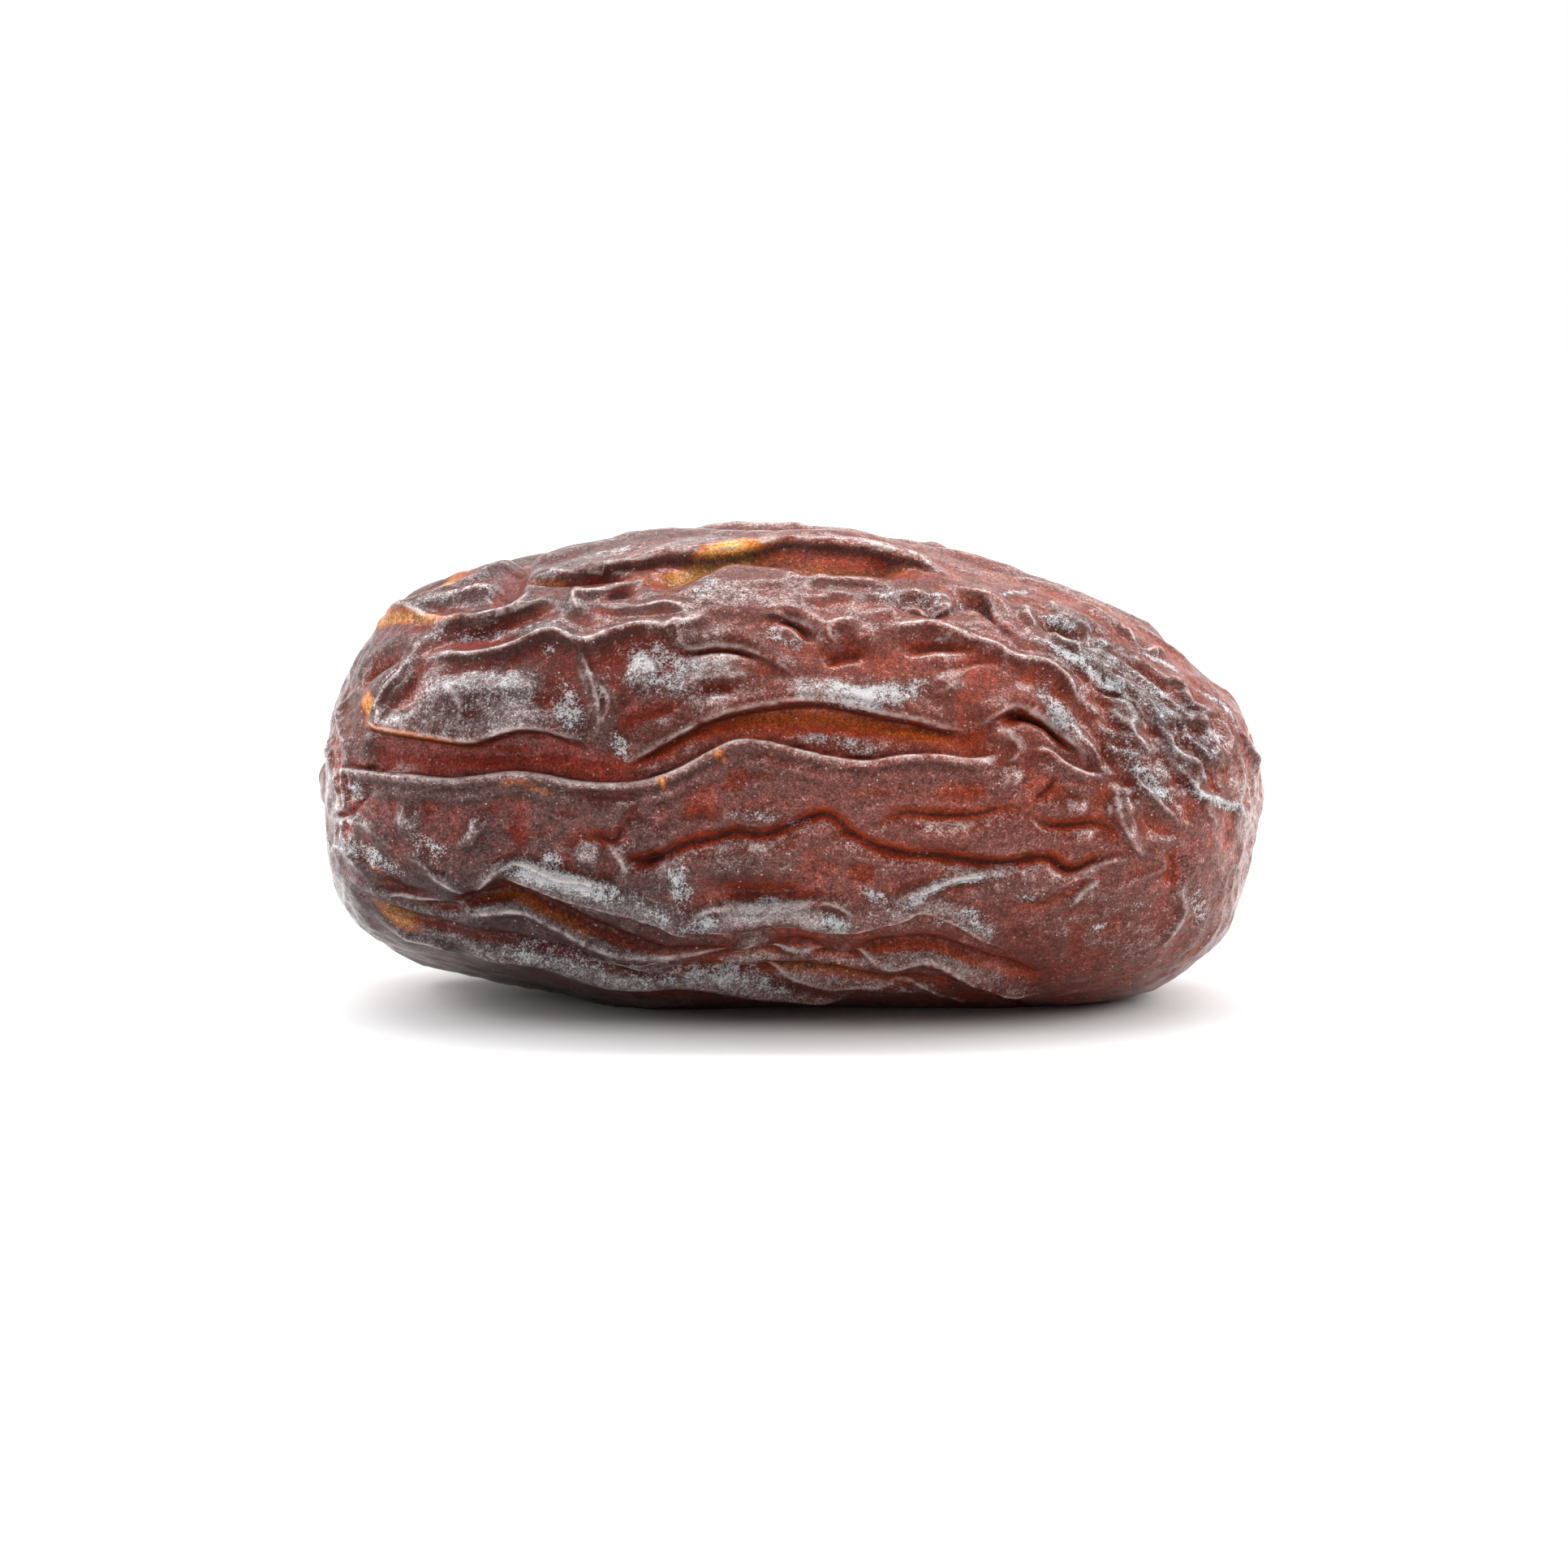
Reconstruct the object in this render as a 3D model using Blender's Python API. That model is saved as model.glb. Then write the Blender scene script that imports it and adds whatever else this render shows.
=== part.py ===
"""A medjool date: one dried fruit lying on its side, its shrunken skin drawn into long folds.

The stem end is at -X and the tip at +X. The front, which the photograph shows, faces -Y.
Lengths are in millimetres until the mesh is made, and points on the photograph are in its own
1932 x 1932 pixels, seen by the viewer described below.
"""

import math
from dataclasses import dataclass

import bmesh
import bpy
import numpy as np
from mathutils import Vector, noise

METRES = 0.001

# The date's main sizes
LENGTH = 46.0
SQUARENESS = 2.25  # exponent of the cross-section: 2 is an ellipse, and more is boxier

# Along the date, its lowest and highest point and its half depth there, stem end first
STATIONS = (
    (-22.6, 8.3, 12.5, 2.7),
    (-21.9, 6.0, 14.1, 5.0),
    (-20.7, 3.9, 16.5, 7.4),
    (-19.0, 2.6, 18.7, 9.1),
    (-16.0, 1.6, 20.5, 10.4),
    (-12.0, 0.9, 21.3, 11.2),
    (-7.0, -0.3, 22.3, 11.7),
    (-1.0, -0.3, 22.6, 11.9),
    (5.0, -0.3, 22.2, 11.9),
    (10.0, -0.3, 20.9, 11.5),
    (14.0, -0.3, 19.8, 10.8),
    (18.0, 0.6, 17.6, 9.1),
    (20.5, 2.2, 15.7, 7.0),
    (21.9, 4.0, 14.6, 5.0),
    (22.6, 6.4, 13.2, 3.0),
)

# The viewer of the photograph: where it looks, from how far, and how many millimetres a pixel spans.
# Points that it sees edge-on are kept within these angles round the date.
AIM = (-0.35, 0.0, 10.35)
VIEW_DISTANCE = 310.0
VIEW_ELEVATION = math.radians(9.0)
PIXEL = LENGTH / 1166.0
PHOTO_CENTRE = 966.0
NEAR_SIDE = (math.radians(-74), math.radians(86))

# Mesh density before the faces are thinned, and the number of triangles left after that
ROUND_SEGMENTS = 300
LONG_SEGMENTS = 220
TRIANGLES = 11000

# The spot that the date rests on: its middle, its reach along X and Y, and the blend round it
REST_CENTRE = (2.5, 0.0)
REST_REACH = (9.5, 4.0)
REST_BLEND = 1.6
LEVEL_WITHIN = 0.02

DECIMALS = 5  # points are rounded to this many, so that the last bits of the arithmetic change nothing

SKIN_COLOUR = (0.21, 0.065, 0.045, 1.0)
SKIN_ROUGHNESS = 0.42


@dataclass(frozen=True)
class Fold:
    """A line of raised or sunken skin: its height, its half width, and the points it is seen at."""

    height: float
    width: float
    seen: tuple


# Wide sunken channels, left to right in the photograph
TROUGHS = {
    "top_channel": Fold(0.85, 0.95, ((790, 720), (830, 709), (865, 688), (905, 679), (955, 681), (1005, 687),
                                     (1065, 692), (1130, 699))),
    "great_channel": Fold(1.15, 0.8, ((448, 925), (500, 932), (560, 935), (620, 930), (680, 932), (740, 940),
                                      (790, 932), (840, 908), (880, 892), (940, 884), (1000, 884), (1060, 890),
                                      (1120, 899), (1180, 908), (1225, 916))),
    "arch_pocket": Fold(0.85, 0.55, ((1225, 897), (1252, 884), (1280, 893), (1306, 914), (1330, 932))),
    "upper_low_channel": Fold(0.8, 0.5, ((455, 1084), (500, 1097), (560, 1108), (600, 1103), (640, 1101),
                                         (680, 1116), (720, 1133), (770, 1153), (820, 1167), (860, 1169),
                                         (920, 1161), (980, 1159), (1040, 1166), (1100, 1160), (1150, 1160),
                                         (1200, 1178), (1250, 1198), (1285, 1209))),
    "lower_low_channel": Fold(0.7, 0.42, ((462, 1112), (520, 1126), (580, 1138), (640, 1148), (700, 1163),
                                          (750, 1180), (800, 1189), (860, 1189), (920, 1184), (960, 1181),
                                          (1010, 1193), (1060, 1203), (1110, 1208), (1150, 1203))),
    "stem_notch_trough": Fold(0.7, 0.6, ((436, 850), (448, 832), (470, 815), (500, 806))),
    "shoulder_trough": Fold(0.35, 0.5, ((530, 786), (600, 781), (650, 766), (700, 752))),
    "speckled_pocket": Fold(0.5, 0.35, ((820, 807), (860, 805), (905, 804), (945, 814))),
    "small_pocket": Fold(0.35, 0.4, ((852, 850), (880, 846), (912, 849))),
    "slanting_pocket": Fold(0.45, 0.4, ((748, 893), (790, 881), (830, 872), (852, 868))),
    "hook_pocket": Fold(0.5, 0.35, ((735, 735), (762, 736), (786, 729))),
    "upper_pocket": Fold(0.5, 0.4, ((948, 762), (978, 775), (998, 790), (1012, 802))),
    "middle_pocket": Fold(0.55, 0.42, ((1005, 818), (1040, 812), (1075, 806))),
    "long_pocket": Fold(0.55, 0.36, ((1092, 805), (1130, 805), (1180, 802), (1215, 804))),
    "crown_pocket": Fold(0.6, 0.4, ((1095, 742), (1130, 755), (1162, 764))),
    "tent_pocket": Fold(0.65, 0.5, ((1170, 746), (1200, 743), (1222, 762), (1240, 778))),
    "shoulder_pocket": Fold(0.6, 0.45, ((1262, 765), (1290, 785), (1330, 798), (1355, 808))),
    "dark_red_pocket": Fold(0.5, 0.36, ((1375, 852), (1398, 868), (1415, 891))),
    "tip_pocket": Fold(0.35, 0.4, ((1440, 885), (1465, 895), (1487, 906))),
    "edge_pocket": Fold(0.35, 0.32, ((1360, 770), (1385, 785), (1410, 800), (1430, 812))),
    "grey_pocket": Fold(0.4, 0.5, ((1338, 848), (1355, 868), (1372, 888))),
    "centre_hollow": Fold(0.25, 0.8, ((835, 1000), (865, 990), (898, 995))),
    "belly_hollow": Fold(0.35, 0.45, ((875, 1088), (925, 1103), (980, 1099), (1022, 1101))),
    "small_belly_hollow": Fold(0.3, 0.3, ((1038, 1070), (1062, 1074), (1088, 1068))),
    "left_gully": Fold(0.4, 0.4, ((641, 985), (640, 1020), (642, 1052))),
    "crease_mouth": Fold(0.4, 0.36, ((762, 1054), (790, 1056), (818, 1044))),
    "red_trough": Fold(0.25, 0.5, ((1150, 960), (1190, 964), (1222, 970))),
    "right_gully": Fold(0.45, 0.45, ((1438, 1038), (1441, 1070), (1436, 1100))),
    "lower_right_gully": Fold(0.35, 0.4, ((1328, 1128), (1322, 1160), (1320, 1188))),
    "slanting_gully": Fold(0.3, 0.36, ((1245, 1122), (1290, 1111), (1330, 1091), (1372, 1074))),
}

# Wide raised pillows between the channels
SWELLS = {
    "left_pillow": Fold(0.5, 1.25, ((505, 850), (560, 850), (620, 852), (680, 858))),
    "flap_pillow": Fold(0.45, 0.6, ((478, 764), (530, 745), (580, 733), (628, 718))),
    "stem_pillow": Fold(0.4, 0.9, ((485, 1003), (525, 1010))),
    "second_pillow": Fold(0.35, 0.85, ((572, 1020), (592, 1035))),
    "small_pillow": Fold(0.3, 0.65, ((705, 1052), (742, 1058))),
    "bloom_shelf": Fold(0.35, 0.36, ((620, 1078), (660, 1086), (710, 1098), (765, 1104))),
    "bloom_pillow": Fold(0.5, 0.45, ((865, 1140), (920, 1134), (980, 1131), (1038, 1140))),
    "belly_pillow": Fold(0.3, 1.0, ((860, 1070), (930, 1065), (1000, 1060))),
    "centre_pillow": Fold(0.3, 1.0, ((900, 958), (980, 962), (1065, 970))),
    "right_pillow": Fold(0.3, 0.5, ((1115, 1022), (1170, 1026), (1215, 1030))),
    "leaf": Fold(0.25, 0.5, ((1228, 955), (1264, 962))),
    "upper_lobe": Fold(0.25, 0.4, ((1308, 998), (1345, 998))),
    "lower_lobe": Fold(0.2, 0.35, ((1318, 1034), (1348, 1032))),
    "speckled_pillow": Fold(0.35, 0.8, ((770, 820), (812, 832))),
    "crown_pillow": Fold(0.25, 0.5, ((1112, 728), (1148, 735))),
    "middle_pillow": Fold(0.25, 0.4, ((1045, 784), (1085, 786))),
    "underside_band": Fold(0.5, 0.75, ((560, 1163), (650, 1182), (740, 1206), (840, 1212), (950, 1220),
                                       (1060, 1228))),
    "wrinkled_band": Fold(0.35, 0.36, ((1384, 968), (1394, 1005), (1408, 1046))),
}

# Edges of skin that stand up and drop away steeply on their upper side
UPPER_LIPS = {
    "mid_crest": Fold(0.7, 0.32, ((412, 950), (450, 952), (500, 956), (545, 961), (590, 957), (625, 952),
                                  (655, 954), (700, 963), (740, 967), (797, 962), (840, 945), (875, 925),
                                  (905, 911), (940, 912), (975, 921), (1020, 932), (1070, 938), (1110, 931),
                                  (1150, 929), (1205, 934), (1238, 929))),
    "right_crest": Fold(0.5, 0.3, ((1262, 922), (1290, 922), (1312, 936), (1335, 948), (1370, 960))),
    "stem_notch": Fold(0.5, 0.28, ((450, 885), (457, 862), (466, 845), (482, 828), (500, 810))),
}

# Edges of skin that stand up and drop away steeply on their lower side
LOWER_LIPS = {
    "channel_roof": Fold(0.5, 0.32, ((762, 946), (800, 925), (835, 905), (868, 887), (900, 875), (945, 866),
                                     (1000, 861), (1045, 867), (1090, 878), (1135, 887), (1165, 896),
                                     (1198, 901))),
    "arch": Fold(0.5, 0.3, ((1202, 899), (1222, 883), (1250, 868), (1275, 873), (1300, 893), (1325, 917),
                            (1345, 936))),
    "pillow_sill": Fold(0.6, 0.3, ((445, 888), (480, 900), (530, 908), (580, 913), (610, 903), (638, 896),
                                   (670, 899), (700, 908), (728, 919))),
    "top_lip": Fold(0.6, 0.34, ((690, 706), (740, 698), (780, 690), (820, 680), (860, 668), (905, 660),
                                (970, 656), (1000, 660), (1025, 670), (1080, 672), (1110, 684), (1145, 697),
                                (1172, 707))),
    "pocket_roof": Fold(0.4, 0.26, ((818, 800), (850, 799), (885, 795), (918, 797), (945, 806), (965, 820),
                                    (986, 843))),
    "upper_pocket_roof": Fold(0.4, 0.26, ((930, 757), (965, 755), (988, 764), (1003, 775), (1014, 789))),
    "crown_edge": Fold(0.4, 0.26, ((1088, 741), (1108, 737), (1125, 745), (1145, 753), (1162, 748),
                                   (1172, 735))),
    "tent_edge": Fold(0.45, 0.26, ((1185, 724), (1203, 729), (1218, 743), (1227, 758), (1242, 772),
                                   (1264, 782))),
    "tip_roof": Fold(0.4, 0.26, ((1348, 836), (1375, 843), (1402, 862), (1410, 880), (1424, 897))),
    "shelf_sill": Fold(0.5, 0.28, ((600, 1085), (640, 1094), (680, 1109), (720, 1120), (770, 1134),
                                   (810, 1146), (832, 1159), (870, 1156), (905, 1155), (935, 1150),
                                   (980, 1148), (1020, 1155), (1045, 1155), (1085, 1147), (1112, 1140),
                                   (1135, 1129), (1160, 1138), (1200, 1159), (1244, 1174))),
}

# Ridges of skin that stand up and fall away on both sides
CRESTS = {
    "shoulder_crest": Fold(0.5, 0.36, ((520, 806), (560, 799), (605, 797), (640, 787), (665, 776), (680, 774),
                                       (700, 782), (718, 785), (745, 775), (780, 764), (830, 760), (880, 758))),
    "flap_spine": Fold(0.4, 0.3, ((505, 750), (540, 735), (580, 718), (620, 700), (645, 691))),
    "flap_edge": Fold(0.4, 0.3, ((462, 766), (500, 757), (550, 757), (600, 753), (630, 745), (654, 726))),
    "flap_foot": Fold(0.3, 0.24, ((560, 768), (605, 762), (628, 756), (655, 740), (688, 727))),
    "slit_roof": Fold(0.3, 0.24, ((662, 702), (690, 708), (740, 703), (775, 702), (788, 710))),
    "left_seam": Fold(0.35, 0.24, ((705, 786), (718, 810), (728, 838), (736, 868), (736, 895), (728, 917))),
    "second_seam": Fold(0.3, 0.22, ((724, 818), (737, 842), (748, 862), (743, 882), (738, 910))),
    "hook": Fold(0.3, 0.22, ((716, 722), (705, 735), (712, 748), (730, 759))),
    "hook_tail": Fold(0.25, 0.22, ((728, 745), (760, 745), (790, 742), (822, 738), (836, 743), (848, 755),
                                   (872, 757))),
    "upright_crest": Fold(0.3, 0.22, ((826, 758), (835, 772), (839, 788), (852, 800))),
    "small_arch": Fold(0.25, 0.24, ((830, 857), (840, 843), (862, 833), (895, 830), (938, 829))),
    "pillow_edge": Fold(0.25, 0.22, ((1060, 764), (1025, 766), (1020, 774), (1028, 790), (1042, 801))),
    "long_right_crest": Fold(0.35, 0.26, ((1080, 777), (1105, 768), (1145, 765), (1190, 778), (1225, 786),
                                          (1250, 802), (1290, 809), (1312, 823), (1325, 845), (1332, 874))),
    "arch_back": Fold(0.3, 0.22, ((1238, 863), (1252, 857), (1270, 864), (1300, 889), (1330, 914),
                                  (1348, 924))),
    "curl": Fold(0.25, 0.2, ((1210, 906), (1238, 903), (1255, 914), (1257, 926), (1246, 937), (1230, 938))),
    "band_crest": Fold(0.4, 0.22, ((1366, 958), (1374, 975), (1380, 1000), (1390, 1022), (1400, 1042),
                                   (1415, 1062))),
    "bloom_ridge": Fold(0.35, 0.26, ((1092, 1123), (1120, 1104), (1150, 1097), (1180, 1083), (1215, 1078),
                                     (1250, 1072))),
    "shelf_edge": Fold(0.35, 0.22, ((580, 1103), (598, 1088), (615, 1072), (640, 1065), (662, 1073),
                                    (690, 1084), (720, 1087), (755, 1093), (778, 1089))),
    "pillow_rim": Fold(0.35, 0.22, ((833, 1158), (845, 1143), (862, 1129), (885, 1122), (925, 1120),
                                    (960, 1121), (985, 1116), (1003, 1113), (1030, 1118), (1052, 1130),
                                    (1068, 1142))),
    "stem_panel_crest": Fold(0.3, 0.22, ((495, 1055), (518, 1068), (535, 1088), (558, 1100), (584, 1103))),
    "channel_divide": Fold(0.5, 0.28, ((448, 1092), (480, 1105), (520, 1110), (555, 1118), (578, 1126),
                                       (605, 1121), (640, 1119), (675, 1133), (710, 1150), (745, 1167),
                                       (785, 1180), (830, 1184), (875, 1180), (905, 1173), (928, 1166),
                                       (955, 1169), (990, 1178), (1040, 1184), (1095, 1185), (1140, 1180),
                                       (1168, 1186), (1190, 1199), (1215, 1211), (1255, 1221), (1287, 1222))),
    "low_left_crest": Fold(0.35, 0.24, ((478, 1134), (505, 1146), (535, 1163), (565, 1177))),
    "channel_floor_edge": Fold(0.3, 0.26, ((700, 1177), (750, 1191), (800, 1197), (860, 1197), (920, 1199),
                                           (1000, 1205), (1080, 1214), (1130, 1213), (1165, 1225),
                                           (1202, 1237))),
    "gusset": Fold(0.3, 0.22, ((742, 1037), (758, 1052), (768, 1072), (779, 1087))),
    "stem_left": Fold(0.3, 0.24, ((438, 848), (416, 878), (417, 900), (424, 922), (434, 941))),
    "stem_low": Fold(0.3, 0.24, ((404, 1040), (425, 1055), (445, 1075), (453, 1091))),
    "lower_right_crest": Fold(0.25, 0.24, ((1318, 1122), (1328, 1106), (1345, 1090), (1364, 1080))),
    "soft_right_crest": Fold(0.2, 0.3, ((1300, 1095), (1330, 1075), (1365, 1062), (1402, 1058))),
    "upright_right_crest": Fold(0.3, 0.3, ((1460, 1078), (1458, 1105), (1463, 1130), (1445, 1155),
                                           (1425, 1172))),
    "shoulder_wave": Fold(0.35, 0.24, ((1262, 738), (1272, 756), (1292, 774), (1315, 786), (1340, 793),
                                       (1362, 800), (1381, 818))),
    "shoulder_wave_2": Fold(0.25, 0.22, ((1288, 738), (1303, 752), (1327, 764))),
    "shoulder_wave_3": Fold(0.35, 0.24, ((1320, 730), (1342, 746), (1366, 764), (1385, 780), (1402, 796),
                                         (1442, 806))),
    "shoulder_wave_4": Fold(0.3, 0.24, ((1240, 695), (1262, 712), (1290, 719), (1314, 725))),
    "tip_wave": Fold(0.35, 0.24, ((1410, 815), (1435, 828), (1455, 843), (1470, 862), (1502, 880))),
    "tip_wave_2": Fold(0.3, 0.22, ((1425, 858), (1445, 876), (1475, 886), (1499, 897))),
    "tip_wave_3": Fold(0.25, 0.22, ((1355, 862), (1380, 880), (1400, 898), (1410, 915), (1427, 937))),
    "tip_wave_4": Fold(0.25, 0.22, ((1430, 925), (1450, 945), (1470, 955), (1478, 975), (1505, 985),
                                    (1537, 1001))),
    "tip_wave_5": Fold(0.25, 0.22, ((1400, 940), (1405, 960), (1425, 982), (1445, 1002), (1464, 1017))),
    "edge_wave": Fold(0.25, 0.24, ((1385, 748), (1410, 765), (1440, 787), (1470, 810), (1482, 826))),
    "tip_edge": Fold(0.3, 0.24, ((1520, 878), (1522, 900), (1532, 918), (1541, 935), (1545, 977))),
}

# Sharp valleys where two swollen parts of the skin meet
CREASES = {
    "slit": Fold(0.8, 0.26, ((643, 713), (680, 716), (720, 714), (760, 710), (786, 710))),
    "belly_crease": Fold(0.6, 0.32, ((762, 1062), (800, 1055), (845, 1037), (880, 1030), (905, 1022),
                                     (940, 1026), (975, 1014), (1000, 1004), (1018, 1001), (1032, 1008),
                                     (1043, 1022), (1062, 1031), (1082, 1041), (1110, 1048), (1160, 1051),
                                     (1205, 1058), (1245, 1059), (1275, 1054), (1295, 1057), (1308, 1068),
                                     (1325, 1068), (1345, 1058), (1372, 1047))),
    "right_crease": Fold(0.35, 0.28, ((1070, 1022), (1092, 1005), (1110, 1000), (1150, 1003), (1200, 1002),
                                      (1235, 993), (1264, 990))),
    "lobe_crease": Fold(0.4, 0.28, ((1262, 985), (1272, 1005), (1290, 1015), (1320, 1015), (1350, 1012),
                                    (1370, 1020), (1381, 1038))),
    "leaf_crease": Fold(0.3, 0.24, ((1300, 943), (1299, 962), (1285, 975), (1268, 990))),
    "gusset_crease": Fold(0.35, 0.24, ((703, 1031), (735, 1028), (757, 1035), (770, 1015), (785, 993),
                                       (802, 976))),
    "stem_crack": Fold(0.35, 0.22, ((404, 1004), (432, 1003), (446, 990), (456, 974), (477, 966))),
    "underside_crease": Fold(0.3, 0.26, ((1190, 1200), (1215, 1216), (1238, 1230), (1264, 1247))),
}

SEEN_FOLDS = {
    "trough": TROUGHS,
    "swell": SWELLS,
    "lip_up": UPPER_LIPS,
    "lip_down": LOWER_LIPS,
    "crest": CRESTS,
    "crease": CREASES,
}

# Folds the photograph doesn't show, through (mm along X, degrees round the date): 0 is the front, 90 the top
HIDDEN_FOLDS = {
    "crown_notch": ("trough", 0.6, 0.6, ((-13.4, 52), (-12.9, 66), (-12.6, 80), (-12.2, 96), (-11.5, 110))),
    "crown_ridge": ("lip_up", 0.55, 0.34, ((-19, 96), (-13, 88), (-6, 94), (2, 88), (9, 95), (15, 90), (19, 97))),
    "crown_channel": ("trough", 0.7, 0.75, ((-17, 106), (-10, 99), (-3, 104), (4, 98), (11, 104), (17, 103))),
    "crown_back_ridge": ("crest", 0.45, 0.3, ((-20, 118), (-12, 113), (-5, 117), (3, 110), (10, 116),
                                              (18, 114))),
    "under_ridge": ("lip_down", 0.45, 0.34, ((-20, -86), (-13, -80), (-7, -74), (0, -71), (7, -70), (13, -76))),
    "under_back_ridge": ("crest", 0.45, 0.32, ((-19, -108), (-12, -112), (-5, -108), (4, -113), (12, -108),
                                               (18, -112))),
}

# The far side repeats the front's folds, turned half a turn about X and bent by a slow wave
FAR_TURN = math.pi
FAR_WAVE = 0.17

# How a fold is shaped, in its own widths or as a share of its height
LIP_GENTLE = 2.5
LIP_FACE = 0.7
LIP_FOOT = 2.0
LIP_FOOT_DEPTH = 0.55
LIP_LEAN = 0.45
CREST_ROUND = 0.09
TAPER = 2.2
REACH = 5.0
NARROWEST = 0.32  # no fold is narrower than the thinned mesh can carry

# Fine wrinkles over the whole skin: their height, their spacing, and how they stretch along X
WRINKLE_HEIGHT = 0.12
WRINKLE_SPACING = 1.5
WRINKLE_STRETCH = 2.6

# The dimple at the stem, the low button in it, and the point at the tip
STEM_DIMPLE_DEPTH = 1.3
STEM_DIMPLE_RADIUS = 2.6
STEM_BUTTON_HEIGHT = 0.7
STEM_BUTTON_RADIUS = 1.1
TIP_POINT_HEIGHT = 0.35
TIP_POINT_RADIUS = 0.9


def smooth_through(at, knots, values):
    """Values of the smooth cubic through the knots, at the places asked for, which stay within its ends."""
    knots, values = np.asarray(knots, float), np.asarray(values, float)
    at = np.clip(at, knots[0], knots[-1])
    slopes = np.gradient(values, knots, axis=0)
    cell = np.clip(np.searchsorted(knots, at, side="right") - 1, 0, len(knots) - 2)
    step = knots[cell + 1] - knots[cell]
    t = (at - knots[cell]) / step
    if values.ndim > 1:
        step, t = step[:, None], t[:, None]
    return (
        (2 * t**3 - 3 * t**2 + 1) * values[cell]
        + (t**3 - 2 * t**2 + t) * step * slopes[cell]
        + (3 * t**2 - 2 * t**3) * values[cell + 1]
        + (t**3 - t**2) * step * slopes[cell + 1]
    )


def smooth_step(t):
    """0 below 0, 1 above 1 and a smooth rise between."""
    t = np.clip(t, 0.0, 1.0)
    return t * t * (3 - 2 * t)


class Body:
    """The date's plain form: a rounded section swept from the stem end to the tip."""

    def __init__(self):
        along, low, high, deep = np.array(STATIONS).T
        self.knots = np.arccos(-2 * along / LENGTH)
        self.middle = (low + high) / 2
        self.high_share = (high - low) / 2 / np.sin(self.knots)
        self.deep_share = deep / np.sin(self.knots)

    def section(self, lengthwise):
        """The section's middle height, half height and half depth at an angle from the stem end to the tip."""
        ends = np.sin(lengthwise)
        return (
            smooth_through(lengthwise, self.knots, self.middle),
            np.maximum(ends * smooth_through(lengthwise, self.knots, self.high_share), 1e-6),
            np.maximum(ends * smooth_through(lengthwise, self.knots, self.deep_share), 1e-6),
        )

    def point(self, lengthwise, around):
        """Points on the form. The angle around is 0 at the front and a quarter turn on top."""
        middle, high, deep = self.section(lengthwise)
        front, up = np.cos(around), np.sin(around)
        radius = (np.abs(front / deep) ** SQUARENESS + np.abs(up / high) ** SQUARENESS) ** (-1 / SQUARENESS)
        return np.stack([-LENGTH / 2 * np.cos(lengthwise), -radius * front, middle + radius * up], axis=-1)

    def normals(self, lengthwise, around):
        """Unit normals of the form, pointing out."""
        step = 1e-3
        ahead = self.point(np.minimum(lengthwise + step, math.pi), around)
        along = ahead - self.point(np.maximum(lengthwise - step, 0), around)
        across = self.point(lengthwise, around + step) - self.point(lengthwise, around - step)
        ways = np.cross(along, across)
        ways[np.sin(lengthwise) < step] = (0, 0, 0)
        ways[:, 0] -= np.where(np.sin(lengthwise) < step, np.cos(lengthwise), 0)
        return ways / np.linalg.norm(ways, axis=1, keepdims=True)

    def depth_share(self, points):
        """Below 1 inside the form and above 1 outside it."""
        x = np.clip(points[..., 0] / (LENGTH / 2), -0.9999, 0.9999)
        shape = x.shape
        middle, high, deep = (a.reshape(shape) for a in self.section(np.arccos(-x).ravel()))
        past_end = np.maximum(np.abs(points[..., 0]) - LENGTH / 2, 0)
        return (
            np.abs(points[..., 1] / deep) ** SQUARENESS
            + np.abs((points[..., 2] - middle) / high) ** SQUARENESS
            + past_end
        )

    def angles(self, points):
        """The lengthwise and around angles of points on the form."""
        lengthwise = np.arccos(np.clip(-2 * points[:, 0] / LENGTH, -1, 1))
        middle = self.section(lengthwise)[0]
        return lengthwise, np.arctan2(points[:, 2] - middle, -points[:, 1])


class Viewer:
    """The photograph's viewer, who looks along +Y from a little above."""

    def __init__(self):
        back = np.array([0.0, -math.cos(VIEW_ELEVATION), math.sin(VIEW_ELEVATION)])
        self.eye = np.array(AIM) + VIEW_DISTANCE * back
        self.ahead = -back
        self.right = np.array([1.0, 0.0, 0.0])
        self.up = np.cross(self.right, self.ahead)

    def rays(self, pixels):
        """Unit directions from the eye through the pixels."""
        offset = (np.asarray(pixels, float) - PHOTO_CENTRE) * PIXEL
        ways = self.ahead * VIEW_DISTANCE + offset[:, :1] * self.right - offset[:, 1:] * self.up
        return ways / np.linalg.norm(ways, axis=1, keepdims=True)

    def onto(self, body, pixels):
        """The points of the body's near side behind the pixels; a pixel just off it lands on its edge."""
        ways = self.rays(pixels)
        reach = np.linspace(VIEW_DISTANCE - 25, VIEW_DISTANCE + 25, 1501)
        samples = self.eye + ways[:, None, :] * reach[None, :, None]
        depth = body.depth_share(samples)
        inside = depth <= 1
        first = np.where(inside.any(axis=1), inside.argmax(axis=1), depth.argmin(axis=1))
        lengthwise, around = body.angles(samples[np.arange(len(first)), first])
        return body.point(lengthwise, np.clip(around, *NEAR_SIDE))


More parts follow.
